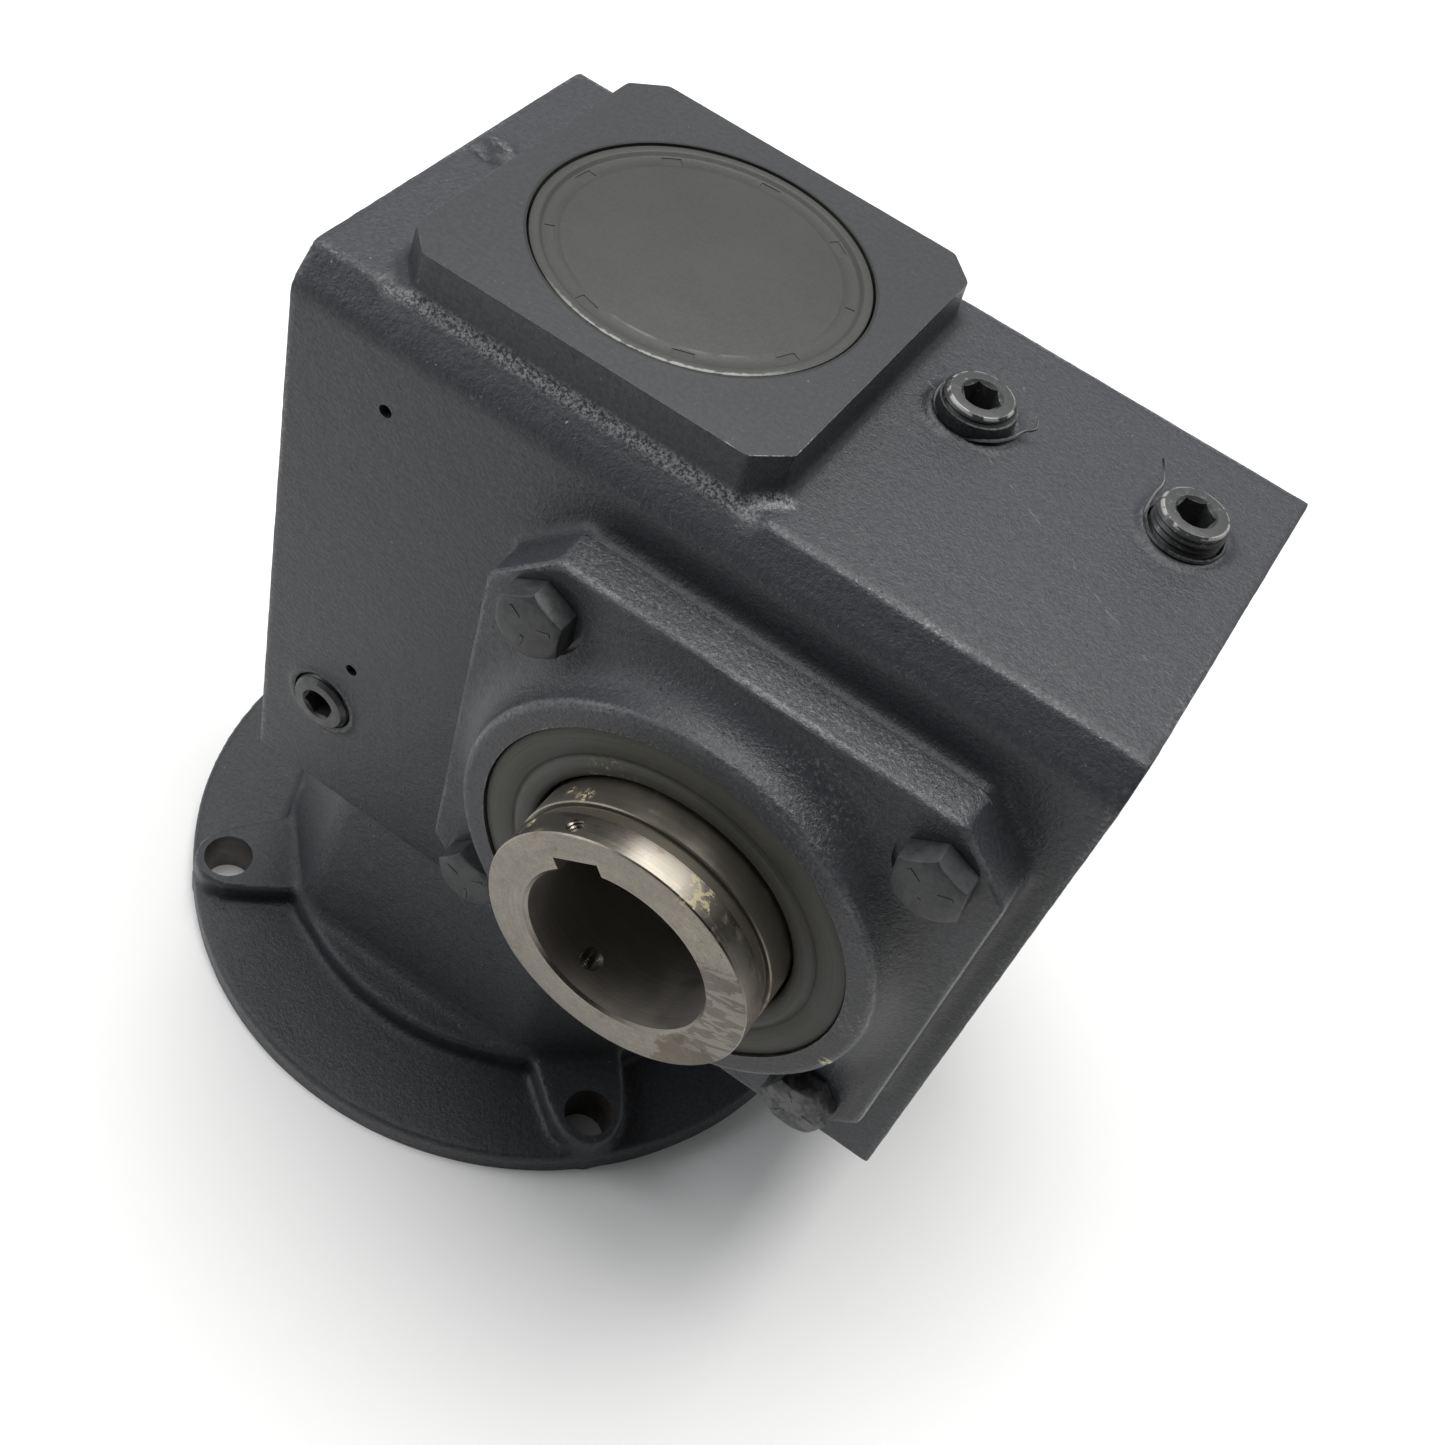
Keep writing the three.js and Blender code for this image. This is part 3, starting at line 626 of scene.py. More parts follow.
def line_wear(m, col, d, width, amount=0.7, tone=PALE, scale=1.1):
    """Lighter paint along a line at distance d, broken up by noise."""
    n = m.noise(scale, 3.0, 0.7)
    k = m.step(m.sub(m.mul(m.sub(n, 0.5), width * 2.4), m.sub(d, width)), 0.0, width * 0.7)
    return m.mix(m.mul(k, amount), col, tone)


def case_extra(m, col, rough):
    # the long edge between the top and the chamfer is pale along its length: partly worn paint, partly a painted
    # highlight of the top light on the rounded edge
    ay = m.abs(m.y)
    dy, dz = m.sub(ay, 39.3), m.sub(m.z, TOP)
    d = m.math("SQRT", m.add(m.mul(dy, dy), m.mul(dz, dz)))
    patch = m.step(m.noise(0.06, 2.0, 0.5), 0.42, 0.6, 0.5, 1.0)
    n = m.noise(1.2, 3.0, 0.75)
    k = m.step(m.sub(m.mul(m.sub(n, 0.5), 2.0), m.sub(d, 0.4)), 0.0, 0.4)
    col = m.mix(m.mul(m.mul(k, patch), 0.8), col, (0.24, 0.245, 0.25))
    # painted highlight: a sparkling pale strip where the pad almost meets that edge, as the gloss there catches the top
    # light
    mid = m.mul(m.step(m.abs(m.x), 38.5, 36.0), m.step(m.y, -30.0, -36.0))
    glint = m.step(m.noise(1.5, 3.0, 0.8), 0.41, 0.60)
    edge = m.mul(mid, m.step(d, 2.3, 0.7))
    # and the same painted highlight round the foot of the pad's near corner
    foot = m.abs(m.sub(m.mul(m.sub(m.x, m.y), 1 / math.sqrt(2)), 51.3))
    foot = m.mul(m.step(foot, 1.7, 0.6), m.near(37.4, -35.2, 187.2, 3.6, 5.4))
    edge = m.max(edge, foot)
    col = m.mix(m.mul(m.mul(glint, edge), 0.72), col, (0.27, 0.275, 0.28))
    rough = m.sub(rough, m.mul(edge, 0.07))
    # a faint scratch on the top face between the plugs and small nicks
    s = m.abs(m.sub(m.add(m.mul(m.x, 0.55), m.y), m.add(34.5, m.mul(m.noise(0.12, 1.0), 3.0))))
    scr = m.mul(m.step(s, 0.35, 0.1, 0.0, 1.0), m.step(m.noise(0.35, 1.0), 0.55, 0.62))
    scr = m.mul(scr, m.step(m.z, 186.0, 186.5))
    col = m.mix(m.mul(scr, 0.35), col, (0.16, 0.16, 0.16))
    return col, rough


def pad_extra(m, col, rough):
    # machined face under the paint: crisp edge, pale along the near corner with bare nicks and a painted highlight
    q = math.sqrt(2)
    ax, ay = m.abs(m.x), m.abs(m.y)
    e = m.max(m.sub(m.max(ax, ay), 37.7), m.sub(m.mul(m.add(ax, ay), 1 / q), (2 * 37.7 - 5.8) / q))
    d = m.abs(e)
    n = m.noise(0.9, 3.0, 0.7)
    k = m.step(m.sub(m.mul(m.sub(n, 0.5), 1.3), m.sub(d, 0.22)), 0.0, 0.25)
    rr = m.vec("LENGTH", m.xyz(m.x, m.y, 0.0))
    # painted shade: a dark ring just outside the cap, where the gap round it lies in shade
    col = m.mix(m.mul(m.step(m.abs(m.sub(rr, 30.9)), 0.75, 0.45), 0.85), col, (0.006, 0.006, 0.006))
    # pale broken line on the near side only: bare nicks with a painted highlight on the edge
    here = m.step(m.sub(m.x, m.y), 60.0, 68.0, 0.1, 0.75)
    col = m.mix(m.mul(k, here), col, (0.30, 0.30, 0.30))
    return col, rough


def cover_extra(m, col, rough):
    # chips of older pale paint and a scuffed patch by the lower right of the boss
    chip = m.mul(m.near(92.6, -65.0, 106.6, 0.9, 1.7), m.step(m.noise(1.1, 2.0), 0.44, 0.5))
    col = m.mix(chip, col, (0.55, 0.52, 0.33))
    sc = m.mul(m.near(93.0, -64.5, 121.0, 2.0, 7.0), m.step(m.noise(0.9, 4.0, 0.75, m.vec("MULTIPLY", m.P, (1, 0.5, 2.2))), 0.56, 0.62))
    col = m.mix(m.mul(sc, 0.6), col, (0.22, 0.22, 0.215))
    # painted highlight: pale glinting grains on the up-facing side of the slab and on the shoulder of the boss, where
    # the top light falls
    up = m.max(m.step(m.z, OZ + 50.3, OZ + 51.1), m.near(68.0, -60.0, 158.0, 5.0, 15.0))
    glint_grains = m.step(m.noise(1.35, 3.0, 0.78), 0.53, 0.66)
    col = m.mix(m.mul(m.mul(glint_grains, up), 0.42), col, (0.2, 0.205, 0.215))
    return col, m.sub(rough, 0.04)


M_CASE = cast_paint("case_paint", 0.91, 0.78, 0.8, case_extra, tint=(0.985, 1.0, 1.02))
M_PAD = cast_paint("pad_paint", 0.87, 0.14, 0.0, pad_extra, attrs=False, tint=(1.0, 1.0, 0.96))
M_FLANGE = cast_paint("flange_paint", 1.0, 0.9, 0.5)
M_COVER = cast_paint("cover_paint", 1.0, 1.0, 0.95, cover_extra, coarse=1.15)
M_MACH = cast_paint("machined_paint", 0.9, 0.22, 0.0, attrs=False)


def bare_iron(name):
    m = Mat(name, Metallic=0.85)
    tool = m.noise(1.0, 2.0, 0.5, m.vec("MULTIPLY", m.P, (0.6, 6.0, 6.0)))
    n = m.noise(0.08, 3.0, 0.6)
    col = m.mix(m.step(n, 0.35, 0.7), (0.16, 0.155, 0.148), (0.085, 0.07, 0.055))
    return m.done(Base_Color=col, Roughness=m.step(tool, 0.2, 0.8, 0.38, 0.6), Normal=m.bump(tool, 0.25, 0.05))


M_IRON = bare_iron("bare_iron")


def cap_paint():
    m = Mat("cap_paint")
    m.b.inputs["Specular IOR Level"].default_value = 0.35
    n = m.noise(0.05, 3.0, 0.6)
    f = m.noise(1.6, 3.0, 0.6)
    col = m.mix(m.step(n, 0.3, 0.7), (0.0315, 0.0332, 0.0297), (0.0390, 0.0408, 0.0365))
    col = m.mix(m.step(f, 0.3, 0.75, 0.0, 0.35), col, (0.050, 0.0515, 0.0465))
    r = m.vec("LENGTH", m.xyz(m.x, m.y, 0.0))
    # painted highlight: a pale broken line on the rim, on the near side only
    rim = m.step(m.add(m.abs(m.sub(r, 30.35)), m.mul(m.sub(m.noise(0.5, 3.0, 0.7), 0.5), 1.2)), 0.35, 0.05)
    side = m.step(m.add(m.mul(m.y, -1.0), m.mul(m.x, 0.3)), 20.0, 30.0)
    col = m.mix(m.mul(m.mul(rim, side), 0.8), col, (0.30, 0.30, 0.28))
    # painted shade: the outer edge of the cap darkened where the gap round it lies in shade
    col = m.mix(m.mul(m.step(r, 30.5, 30.62), 0.85), col, (0.006, 0.006, 0.006))
    # painted highlight: a pale broken arc on the small step, on the same lit side
    arc = m.mul(m.step(m.abs(m.sub(r, 25.25)), 0.35, 0.08), m.step(m.noise(0.16, 1.0), 0.42, 0.52))
    col = m.mix(m.mul(m.mul(arc, side), 0.5), col, (0.22, 0.22, 0.2))
    h = m.add(m.mul(f, 0.5), m.mul(m.noise(0.22, 2.0), 0.8))
    return m.done(Base_Color=col, Roughness=m.step(f, 0.2, 0.8, 0.56, 0.46), Normal=m.bump(h, 0.25, 0.2))


M_CAP = cap_paint()


def gasket_mat():
    m = Mat("gasket_fibre")
    n = m.noise(1.4, 4.0, 0.7)
    col = m.mix(m.step(n, 0.35, 0.65), (0.016, 0.0165, 0.018), (0.04, 0.038, 0.034))
    return m.done(Base_Color=col, Roughness=m.step(n, 0.3, 0.7, 0.75, 0.9), Normal=m.bump(n, 0.4, 0.15))


M_GASKET = gasket_mat()


def bolt_paint(name, scuff=0.0):
    m = Mat(name)
    m.b.inputs["Specular IOR Level"].default_value = 0.38
    n = m.noise(0.5, 3.0, 0.6)
    f = m.noise(2.2, 3.0, 0.65)
    col = m.mix(m.step(n, 0.3, 0.7), (0.0185, 0.0195, 0.0215), (0.030, 0.0315, 0.0335))
    col = m.mix(m.step(f, 0.62, 0.76, 0.0, 0.35), col, (0.11, 0.114, 0.118))
    if scuff:
        s = m.step(m.noise(0.32, 4.0, 0.7), 0.40, 0.58, 0.0, scuff)
        col = m.mix(s, col, (0.115, 0.118, 0.112))
    return m.done(Base_Color=col, Roughness=m.step(f, 0.2, 0.8, 0.56, 0.42), Normal=m.bump(m.add(f, n), 0.35, 0.16))


M_BOLT = bolt_paint("bolt_paint", 0.12)
M_BOLT_WORN = bolt_paint("bolt_paint_worn", 0.85)


def steel(name, base=(0.235, 0.217, 0.184), rough=0.30, stains=True, axis="out", rings=5.0):
    m = Mat(name, Metallic=1.0)
    if axis == "out":
        r, ang, along = m.radial()
    else:
        r = m.vec("LENGTH", m.xyz(m.x, m.y, 0.0))
        ang, along = m.math("ARCTAN2", m.y, m.x), m.z
    turn_v = m.xyz(m.mul(r, rings), m.mul(along, rings), m.mul(ang, 0.35))
    lines = m.noise(1.0, 3.0, 0.7, turn_v)
    fine = m.noise(3.2, 3.0, 0.6)
    blot = m.noise(0.11, 4.0, 0.62)
    col = m.mix(m.step(lines, 0.3, 0.7), tuple(c * 0.86 for c in base), tuple(min(1, c * 1.1) for c in base))
    ro = m.add(m.step(blot, 0.3, 0.7, rough - 0.04, rough + 0.1), m.mul(m.sub(lines, 0.5), 0.16))
    metal = None
    if stains:
        # soft mottling, a little brown low on the right and down the right of the rim
        end = m.step(m.abs(m.y), 79.0, 79.2, 0.2, 1.0)
        mott = m.mul(end, m.step(m.noise(0.33, 4.0, 0.62), 0.34, 0.68, 0.0, 0.42))
        col = m.mix(mott, col, m.mix(1.0, col, (0.70, 0.70, 0.69), "MULTIPLY"))
        grit = m.mul(end, m.step(m.noise(1.9, 3.0, 0.75), 0.42, 0.60, 0.0, 0.45))
        col = m.mix(grit, col, m.mix(1.0, col, (0.70, 0.69, 0.66), "MULTIPLY"))
        # the collar behind the groove is duller, and the groove is painted dark brown
        rear = m.step(m.abs(m.y), 71.4, 70.4)
        col = m.mix(m.mul(rear, 0.4), col, (0.165, 0.152, 0.126))
        groove = m.mul(m.step(r, 26.2, 25.8), m.mul(m.step(m.abs(m.y), 70.6, 70.9), m.step(m.abs(m.y), 73.7, 73.4)))
        col = m.mix(m.mul(groove, 0.8), col, (0.052, 0.045, 0.030))
        ro = m.add(ro, m.add(m.mul(rear, 0.04), m.mul(groove, 0.2)))
        u, v = m.sub(m.x, OX), m.sub(m.z, OZ)
        wall = m.mul(m.step(m.y, -79.25, -78.7), m.step(m.sub(m.mul(u, 0.95), m.mul(v, 0.35)), 13.0, 26.0))
        bloom = m.step(m.add(m.noise(0.17, 5.0, 0.66), m.mul(wall, 0.15)), 0.60, 0.72)
        wob = m.mul(m.sub(m.noise(0.24, 4.0, 0.7), 0.5), 13.0)
        stain = m.step(m.add(m.vec("DISTANCE", m.P, (75.0, -79.0, 101.5)), wob), 9.2, 8.4, 0.0, 1.0)
        bloom = m.max(m.mul(bloom, 0.8), m.mul(stain, m.step(m.y, -79.0, -79.2)))
        col = m.mix(m.mul(wall, 0.35), col, (0.12, 0.095, 0.065))
        col = m.mix(m.mul(bloom, 0.6), col, (0.125, 0.092, 0.058))
        # dull film up the right of the end face with paler smears wiped through it
        reg = m.mul(m.step(m.add(m.vec("DISTANCE", m.P, (75.5, -79.0, 121.0)), wob), 15.5, 12.5, 0.0, 1.0), m.step(m.y, -79.0, -79.2))
        sm = m.noise(0.42, 2.0, 0.5, m.xyz(m.mul(m.add(u, m.mul(v, 0.4)), 0.30), 0.0, m.mul(m.sub(v, m.mul(u, 0.4)), 1.15)), 1.4)
        col = m.mix(m.mul(reg, 0.62), col, (0.088, 0.078, 0.060))
        film = m.mul(m.step(sm, 0.50, 0.545), reg)
        col = m.mix(m.mul(film, 0.62), col, (0.27, 0.255, 0.22))
        dots = m.mul(m.step(m.noise(1.15, 2.0, 0.6), 0.68, 0.74), m.step(m.y, -78.9, -79.2, 0.25, 1.0))
        col = m.mix(m.mul(dots, 0.6), col, (0.07, 0.055, 0.035))
        ro = m.add(ro, m.add(m.mul(m.max(bloom, m.mul(reg, 0.6)), 0.22), m.mul(dots, 0.25)))
        # flecks of yellowish paint left of the set-screw hole, and a smudge on the rim
        fl = m.max(m.near(29.6, -75.7, 133.0, 0.5, 1.5), m.max(m.near(34.9, -69.1, 139.3, 0.8, 2.4), m.near(31.8, -67.4, 136.0, 0.3, 1.4)))
        yel = m.mul(m.step(m.noise(1.3, 3.0, 0.7), 0.50, 0.54), fl)
        smudge = m.mul(m.step(m.add(m.noise(0.5, 3.0, 0.7), m.mul(m.near(62.0, -76.3, 144.0, 0.5, 4.5), 0.16)), 0.60, 0.66), m.near(62.0, -76.3, 144.0, 3.0, 5.0))
        yel = m.max(yel, m.mul(smudge, 0.6))
        col = m.mix(m.mul(yel, 0.9), col, (0.52, 0.44, 0.24))
        ro = m.add(ro, m.mul(yel, 0.2))
        metal = m.sub(m.sub(1.0, m.mul(m.max(m.mul(rear, 0.45), groove), 0.4)), m.max(m.max(m.mul(yel, 0.9), m.mul(reg, 0.35)), m.max(m.mul(bloom, 0.45), m.mul(dots, 0.5))))
    h = m.add(m.mul(lines, 0.8), m.mul(fine, 0.25))
    nrm = m.bump(h, 0.22, 0.035)
    if metal is None:
        return m.done(Base_Color=col, Roughness=ro, Normal=nrm)
    return m.done(Base_Color=col, Roughness=ro, Normal=nrm, Metallic=metal)


M_SHAFT = steel("shaft_steel")
M_BORE = steel("bore_steel", (0.33, 0.305, 0.275), 0.52, False)
M_WORM = steel("worm_steel", (0.5, 0.49, 0.46), 0.26, False, "worm")
M_RACE = steel("race_steel", (0.60, 0.60, 0.60), 0.16, False)
M_CAGE = steel("cage_steel", (0.42, 0.42, 0.41), 0.34, False)
M_KEY = steel("key_steel", (0.40, 0.39, 0.37), 0.4, False)


def seal_mat():
    m = Mat("seal_rubber")
    m.b.inputs["Specular IOR Level"].default_value = 0.35
    r, ang, along = m.radial()
    arc = m.noise(1.0, 2.0, 0.6, m.xyz(m.mul(r, 3.2), m.mul(ang, 1.2), 0.0))
    blot = m.noise(0.09, 4.0, 0.6)
    f = m.noise(2.4, 2.0, 0.6)
    col = m.mix(m.step(m.add(m.mul(arc, 0.5), m.mul(blot, 0.5)), 0.38, 0.62), (0.046, 0.046, 0.040), (0.066, 0.064, 0.054))
    # painted shade: a dark line in the small groove before the bead
    line = m.step(m.abs(m.sub(r, 31.55)), 0.45, 0.15)
    col = m.mix(m.mul(line, 0.55), col, (0.020, 0.020, 0.018))
    # painted shade: the inner flank of the lip, in the gap beside the shaft, painted near black
    lip_gap_shade = m.step(r, 27.6, 27.15)
    col = m.mix(m.mul(lip_gap_shade, 0.9), col, (0.012, 0.0115, 0.011))
    # painted shade: a dark line at the outer edge, in the gap beside the cover's bore
    edge = m.step(m.abs(m.sub(r, 37.7)), 0.45, 0.1)
    col = m.mix(m.mul(edge, 0.85), col, (0.010, 0.014, 0.014))
    yel = m.mul(m.step(m.noise(0.9, 3.0, 0.7), 0.575, 0.605), m.near(38.0, -65.0, 141.0, 2.0, 7.0))
    col = m.mix(m.mul(yel, 0.8), col, (0.36, 0.33, 0.2))
    dust = m.step(m.noise(1.9, 1.0), 0.76, 0.80)
    col = m.mix(m.mul(dust, 0.5), col, (0.16, 0.16, 0.15))
    return m.done(Base_Color=col, Roughness=m.step(blot, 0.3, 0.7, 0.52, 0.68), Normal=m.bump(m.add(m.mul(arc, 0.7), f), 0.2, 0.08))


M_SEAL = seal_mat()


def plug_mat(name, worn=0.5, rims=()):
    m = Mat(name)
    n = m.noise(0.6, 4.0, 0.65)
    f = m.noise(3.0, 2.0, 0.6)
    w = m.mul(m.step(m.add(n, m.mul(m.sub(f, 0.5), 0.4)), 0.66 - 0.06 * worn, 0.76), 0.6)
    for cx, cy, top in rims:
        r = m.vec("LENGTH", m.xyz(m.sub(m.x, cx), m.sub(m.y, cy), 0.0))
        ring = m.mul(m.step(m.abs(m.sub(r, 6.05)), 0.42, 0.1), m.step(m.z, top - 0.7, top - 0.4))
        ring = m.mul(ring, m.step(m.noise(0.45, 2.0, 0.6), 0.42, 0.56))
        w = m.max(w, ring)
    col = m.mix(m.step(n, 0.3, 0.7), (0.020, 0.021, 0.022), (0.038, 0.039, 0.039))
    col = m.mix(m.mul(w, 0.85), col, (0.38, 0.375, 0.36))
    return m.done(Base_Color=col, Roughness=m.step(n, 0.3, 0.7, 0.45, 0.32), Metallic=m.mul(w, 0.3), Normal=m.bump(m.add(f, n), 0.3, 0.1))


M_PLUG = plug_mat("plug_finish", 0.6, ((52.6, 11.0, 191.8), (94.2, 12.9, 192.3)))
M_PLUG_PAINTED = plug_mat("plug_painted", 0.0)


def flake_mat(name, a, b):
    m = Mat(name)
    n = m.noise(1.4, 3.0, 0.6)
    return m.done(Base_Color=m.mix(m.step(n, 0.3, 0.7), a, b), Roughness=m.step(n, 0.3, 0.7, 0.3, 0.5), Normal=m.bump(n, 0.3, 0.1))


M_FLAKE = flake_mat("paint_flake", (0.018, 0.019, 0.02), (0.05, 0.052, 0.055))


def bronze_mat():
    m = Mat("gear_bronze", Metallic=1.0)
    n = m.noise(0.12, 4.0, 0.6)
    t = m.noise(1.0, 3.0, 0.6, m.vec("MULTIPLY", m.P, (4.0, 0.6, 4.0)))
    col = m.mix(m.step(n, 0.3, 0.7), (0.50, 0.31, 0.12), (0.66, 0.45, 0.2))
    return m.done(Base_Color=col, Roughness=m.step(t, 0.2, 0.8, 0.25, 0.42), Normal=m.bump(t, 0.2, 0.04))


M_BRONZE = bronze_mat()


def rubber_mat():
    m = Mat("lip_rubber")
    n = m.noise(1.8, 3.0, 0.6)
    return m.done(Base_Color=m.mix(m.step(n, 0.3, 0.7), (0.018, 0.018, 0.017), (0.032, 0.031, 0.028)), Roughness=m.step(n, 0.3, 0.7, 0.6, 0.78), Normal=m.bump(n, 0.25, 0.08))


M_RUBBER = rubber_mat()


# ------------------------------------------------------------------ gearcase
def case_field(X, Y, Z):
    aY = np.abs(Y)
    ch = ((aY - 39.3) * 6.4 + (Z - TOP) * 5.6) / math.hypot(6.4, 5.6)
    wn = np.clip((39.5 - np.abs(X)) / 3.0, 0, 1) * (Y < 0)
    wn = wn * wn * (3 - 2 * wn)
    sec = I(I(Z - TOP, ch, 0.8 + 2.7 * wn), aY - 44.9, 1.5)
    d = I(sec, np.maximum(X - 109.96, -52.7 - X), 0.45)
    d = np.maximum(d, 50.4 - Z)
    # pads behind the covers
    fp = np.maximum(octagon(X - OX, Z - OZ, 51.4, 12.3, 0.7), aY - 48.4)
    d = U(d, fp, 2.6)
    # octagonal pad over the worm, with a little draft and a wide hollow fillet
    t = np.clip((PADTOP - Z), 0, 12) * 0.06
    tp = np.maximum(octagon(X, Y, 37.7 + t, 5.8, 0.0), np.maximum(Z - (PADTOP + 1.5), 178 - Z))
    d = U(d, tp, 2.6)
    # gate stub left by the foundry on the top left edge, with a hollow beside it
    stub = np.sqrt(((X + 47.2) / 3.4) ** 2 + ((Y - 6.6) / 1.7) ** 2 + ((Z - 187.0) / 1.35) ** 2) - 1
    d = U(d, stub * 1.35, 0.9)
    dent = np.sqrt(((X + 47.6) / 2.9) ** 2 + ((Y - 2.6) / 1.25) ** 2 + ((Z - 187.3) / 1.5) ** 2) - 1
    d = I(d, -dent * 1.2, 0.3)
    # paint ridges where the plugs were screwed through wet paint
    for px, py in ((52.6, 11.0), (94.2, 12.9)):
        ang = np.arctan2(Y - py, X - px)
        rr = np.sqrt((X - px) ** 2 + (Y - py) ** 2)
        ring = np.sqrt((rr - 7.9 - 0.3 * np.sin(3 * ang + px)) ** 2 + (Z - TOP) ** 2) - (0.75 + 0.25 * np.sin(2 * ang + 1))
        d = U(d, ring, 0.8)
    r3 = np.sqrt((X + 36.6) ** 2 + (Z - 79.7) ** 2)
    d = U(d, np.sqrt((r3 - 7.9) ** 2 + (aY - 44.9) ** 2) - 0.55, 0.6)
    # inside
    r = np.sqrt(X ** 2 + Y ** 2)
    hollow = np.maximum(np.maximum(np.maximum(X - 102, -44 - X), aY - 37), np.maximum(Z - 179, 66 - Z))
    hollow = np.maximum(hollow, -np.maximum(r - 37, Z - 74))
    hollow = np.maximum(hollow, -np.maximum(r - 38, 156 - Z))
    ro = np.sqrt((X - OX) ** 2 + (Z - OZ) ** 2)
    hollow = np.minimum(hollow, np.maximum(ro - 48.8, 30.5 - aY))
    hollow = np.minimum(hollow, np.maximum(ro - 44.8, aY - 37))
    hollow = np.minimum(hollow, np.maximum(r - 32.5, np.maximum(Z - 178.1, 176.2 - Z)))
    hollow = np.minimum(hollow, np.maximum(r - 27, np.maximum(150 - Z, Z - 165)))
    hollow = np.minimum(hollow, np.maximum(r - 31, np.maximum(40 - Z, Z - 70)))
    hollow = np.minimum(hollow, np.maximum(r - 27, np.maximum(65 - Z, Z - 80)))
    for sx in (-1, 1):
        for sz in (-1, 1):
            rb = np.sqrt((X - OX - 39.2 * sx) ** 2 + (Z - OZ - 39.2 * sz) ** 2)
            hollow = np.maximum(hollow, -np.maximum(rb - 8.2, 24 - aY))
            hollow = np.minimum(hollow, np.maximum(rb - 4.0, 28 - aY))
            rs = np.sqrt((X - 28.5 * sx) ** 2 + (Y - 28.5 * sz) ** 2)
            hollow = np.minimum(hollow, np.maximum(rs - 4.1, Z - 64))
    return np.maximum(d, -hollow)


def toY(g, x, z):                          # local z becomes -Y
    return g.map(lambda V: np.column_stack([x + V[:, 0], -V[:, 2], z + V[:, 1]]))


case_cut_1 = block(-70, 70, -70, 70, PADTOP, PADTOP + 12)
case_cut_3 = block(-90, 130, 47.3, 60, 40, 175) + block(-90, 130, -60, -47.3, 40, 175)
case_cut_4 = block(-90, 130, -70, 70, 40, 51.6)
case_cut_2 = rod(31.0, 159.9, PADTOP + 6, 160)
for px, py in ((52.6, 11.0), (94.2, 12.9)):
    case_cut_2 = case_cut_2 + rod(7.2, 172, 192, 48).move(px, py, 0)
for s0, s1 in ((30, 52), (-52, -30)):
    case_cut_2 = case_cut_2 + toY(rod(7.2, s0, s1, 48), -36.6, 79.7)
case_cut_2 = case_cut_2 + toY(rod(1.35, 40, 50, 24), -30.5, 94.9)
case_cut_2 = case_cut_2 + toY(rod(1.35, 40, 50, 24), -30.3, 166.3)


def case_faces(c, n):
    idx = np.zeros(len(c), int)
    idx[(n[:, 2] > 0.999) & (np.abs(c[:, 2] - PADTOP) < 0.02)] = 1
    r = np.hypot(c[:, 0], c[:, 1])
    idx[(r < 31.2) & (c[:, 2] > 159.0) & (c[:, 2] < PADTOP - 0.05)] = 2
    deep = (c[:, 0] > -50) & (c[:, 0] < 108) & (np.abs(c[:, 1]) < 43.5) & (c[:, 2] > 54) & (c[:, 2] < 181)
    idx[deep] = 2
    return idx


gearcase = casting("gearcase_body", case_field, (-52.7, -48.4, 50.4), (110.0, 48.4, PADTOP + 1.5), 0.8,
                   [M_CASE, M_PAD, M_IRON], "housing", ["gearcase"], (case_cut_1, case_cut_2, case_cut_3, case_cut_4),
                   rough=0.13, faces=case_faces)


# ------------------------------------------------------------------ motor flange
def flange_field(X, Y, Z):
    q = math.sqrt(2)
    r = np.sqrt(X ** 2 + Y ** 2)
    d = I(r - 82.55, Z - 6.6, 1.1)
    hub = I(r - 60.3, Z - 12.6, 1.2)
    d = U(d, hub, 1.6)
    s_w, w_w = [30, 40, 62, 70, 76, 79, 81, 82.0, 82.4], [10.7, 10.6, 10.4, 9.4, 8.2, 6.4, 4.6, 2.0, 0.4]
    for k in range(4):
        a = math.radians(45 + 90 * k)
        s = X * math.cos(a) + Y * math.sin(a)
        t = np.abs(-X * math.sin(a) + Y * math.cos(a))
        w = np.interp(s, s_w, w_w)
        lobe = np.maximum(np.maximum((t - w) * 0.93, s - 82.2), 30 - s)
        lobe = I(lobe, Z - 12.6, 1.1)
        d = U(d, lobe, 1.4)
    f = np.clip((Z - 12.6) / (51.1 - 12.6), -0.3, 1)
    h, hd = 51.6 + (44.8 - 51.6) * f, 58.5 + (51.5 - 58.5) * f
    neck = I(np.maximum(np.abs(X) - h, np.abs(Y) - h), (np.abs(X) + np.abs(Y)) / q - hd, 2.2)
    neck = np.maximum(neck, Z - 52.3)
    d = U(d, neck, 2.6)
    d = np.minimum(d, np.maximum(np.maximum(r - 30.8, 24.6 - r), np.maximum(Z - 54, 49 - Z)))
    d = np.maximum(d, -3 - Z)
    cut = np.maximum(r - 42, Z - 38)
    cut = np.minimum(cut, np.maximum(r - 17, 30 - Z))
    cut = np.minimum(cut, np.maximum(r - 23.6, 40 - Z))
    for k in range(4):
        a = math.radians(45 + 90 * k)
        rp = np.sqrt((X - 40.3 * math.cos(a)) ** 2 + (Y - 40.3 * math.sin(a)) ** 2)
        cut = np.minimum(cut, np.maximum(rp - 7.7, Z - 38))
        cut = np.minimum(cut, rp - 4.3)
    return np.maximum(d, -cut)


flange_cut_1 = block(-100, 100, -100, 100, -20, 0.0)
flange_cut_3 = lathe([(30.9, 51.1), (90, 51.1), (90, 60), (30.9, 60)], 128)
flange_cut_2 = rod(57.2, -6, 5.0, 160)
for k in range(4):
    a = math.radians(45 + 90 * k)
    flange_cut_2 = flange_cut_2 + rod(5.6, -4, 22, 48).move(74.6 * math.cos(a), 74.6 * math.sin(a), 0)


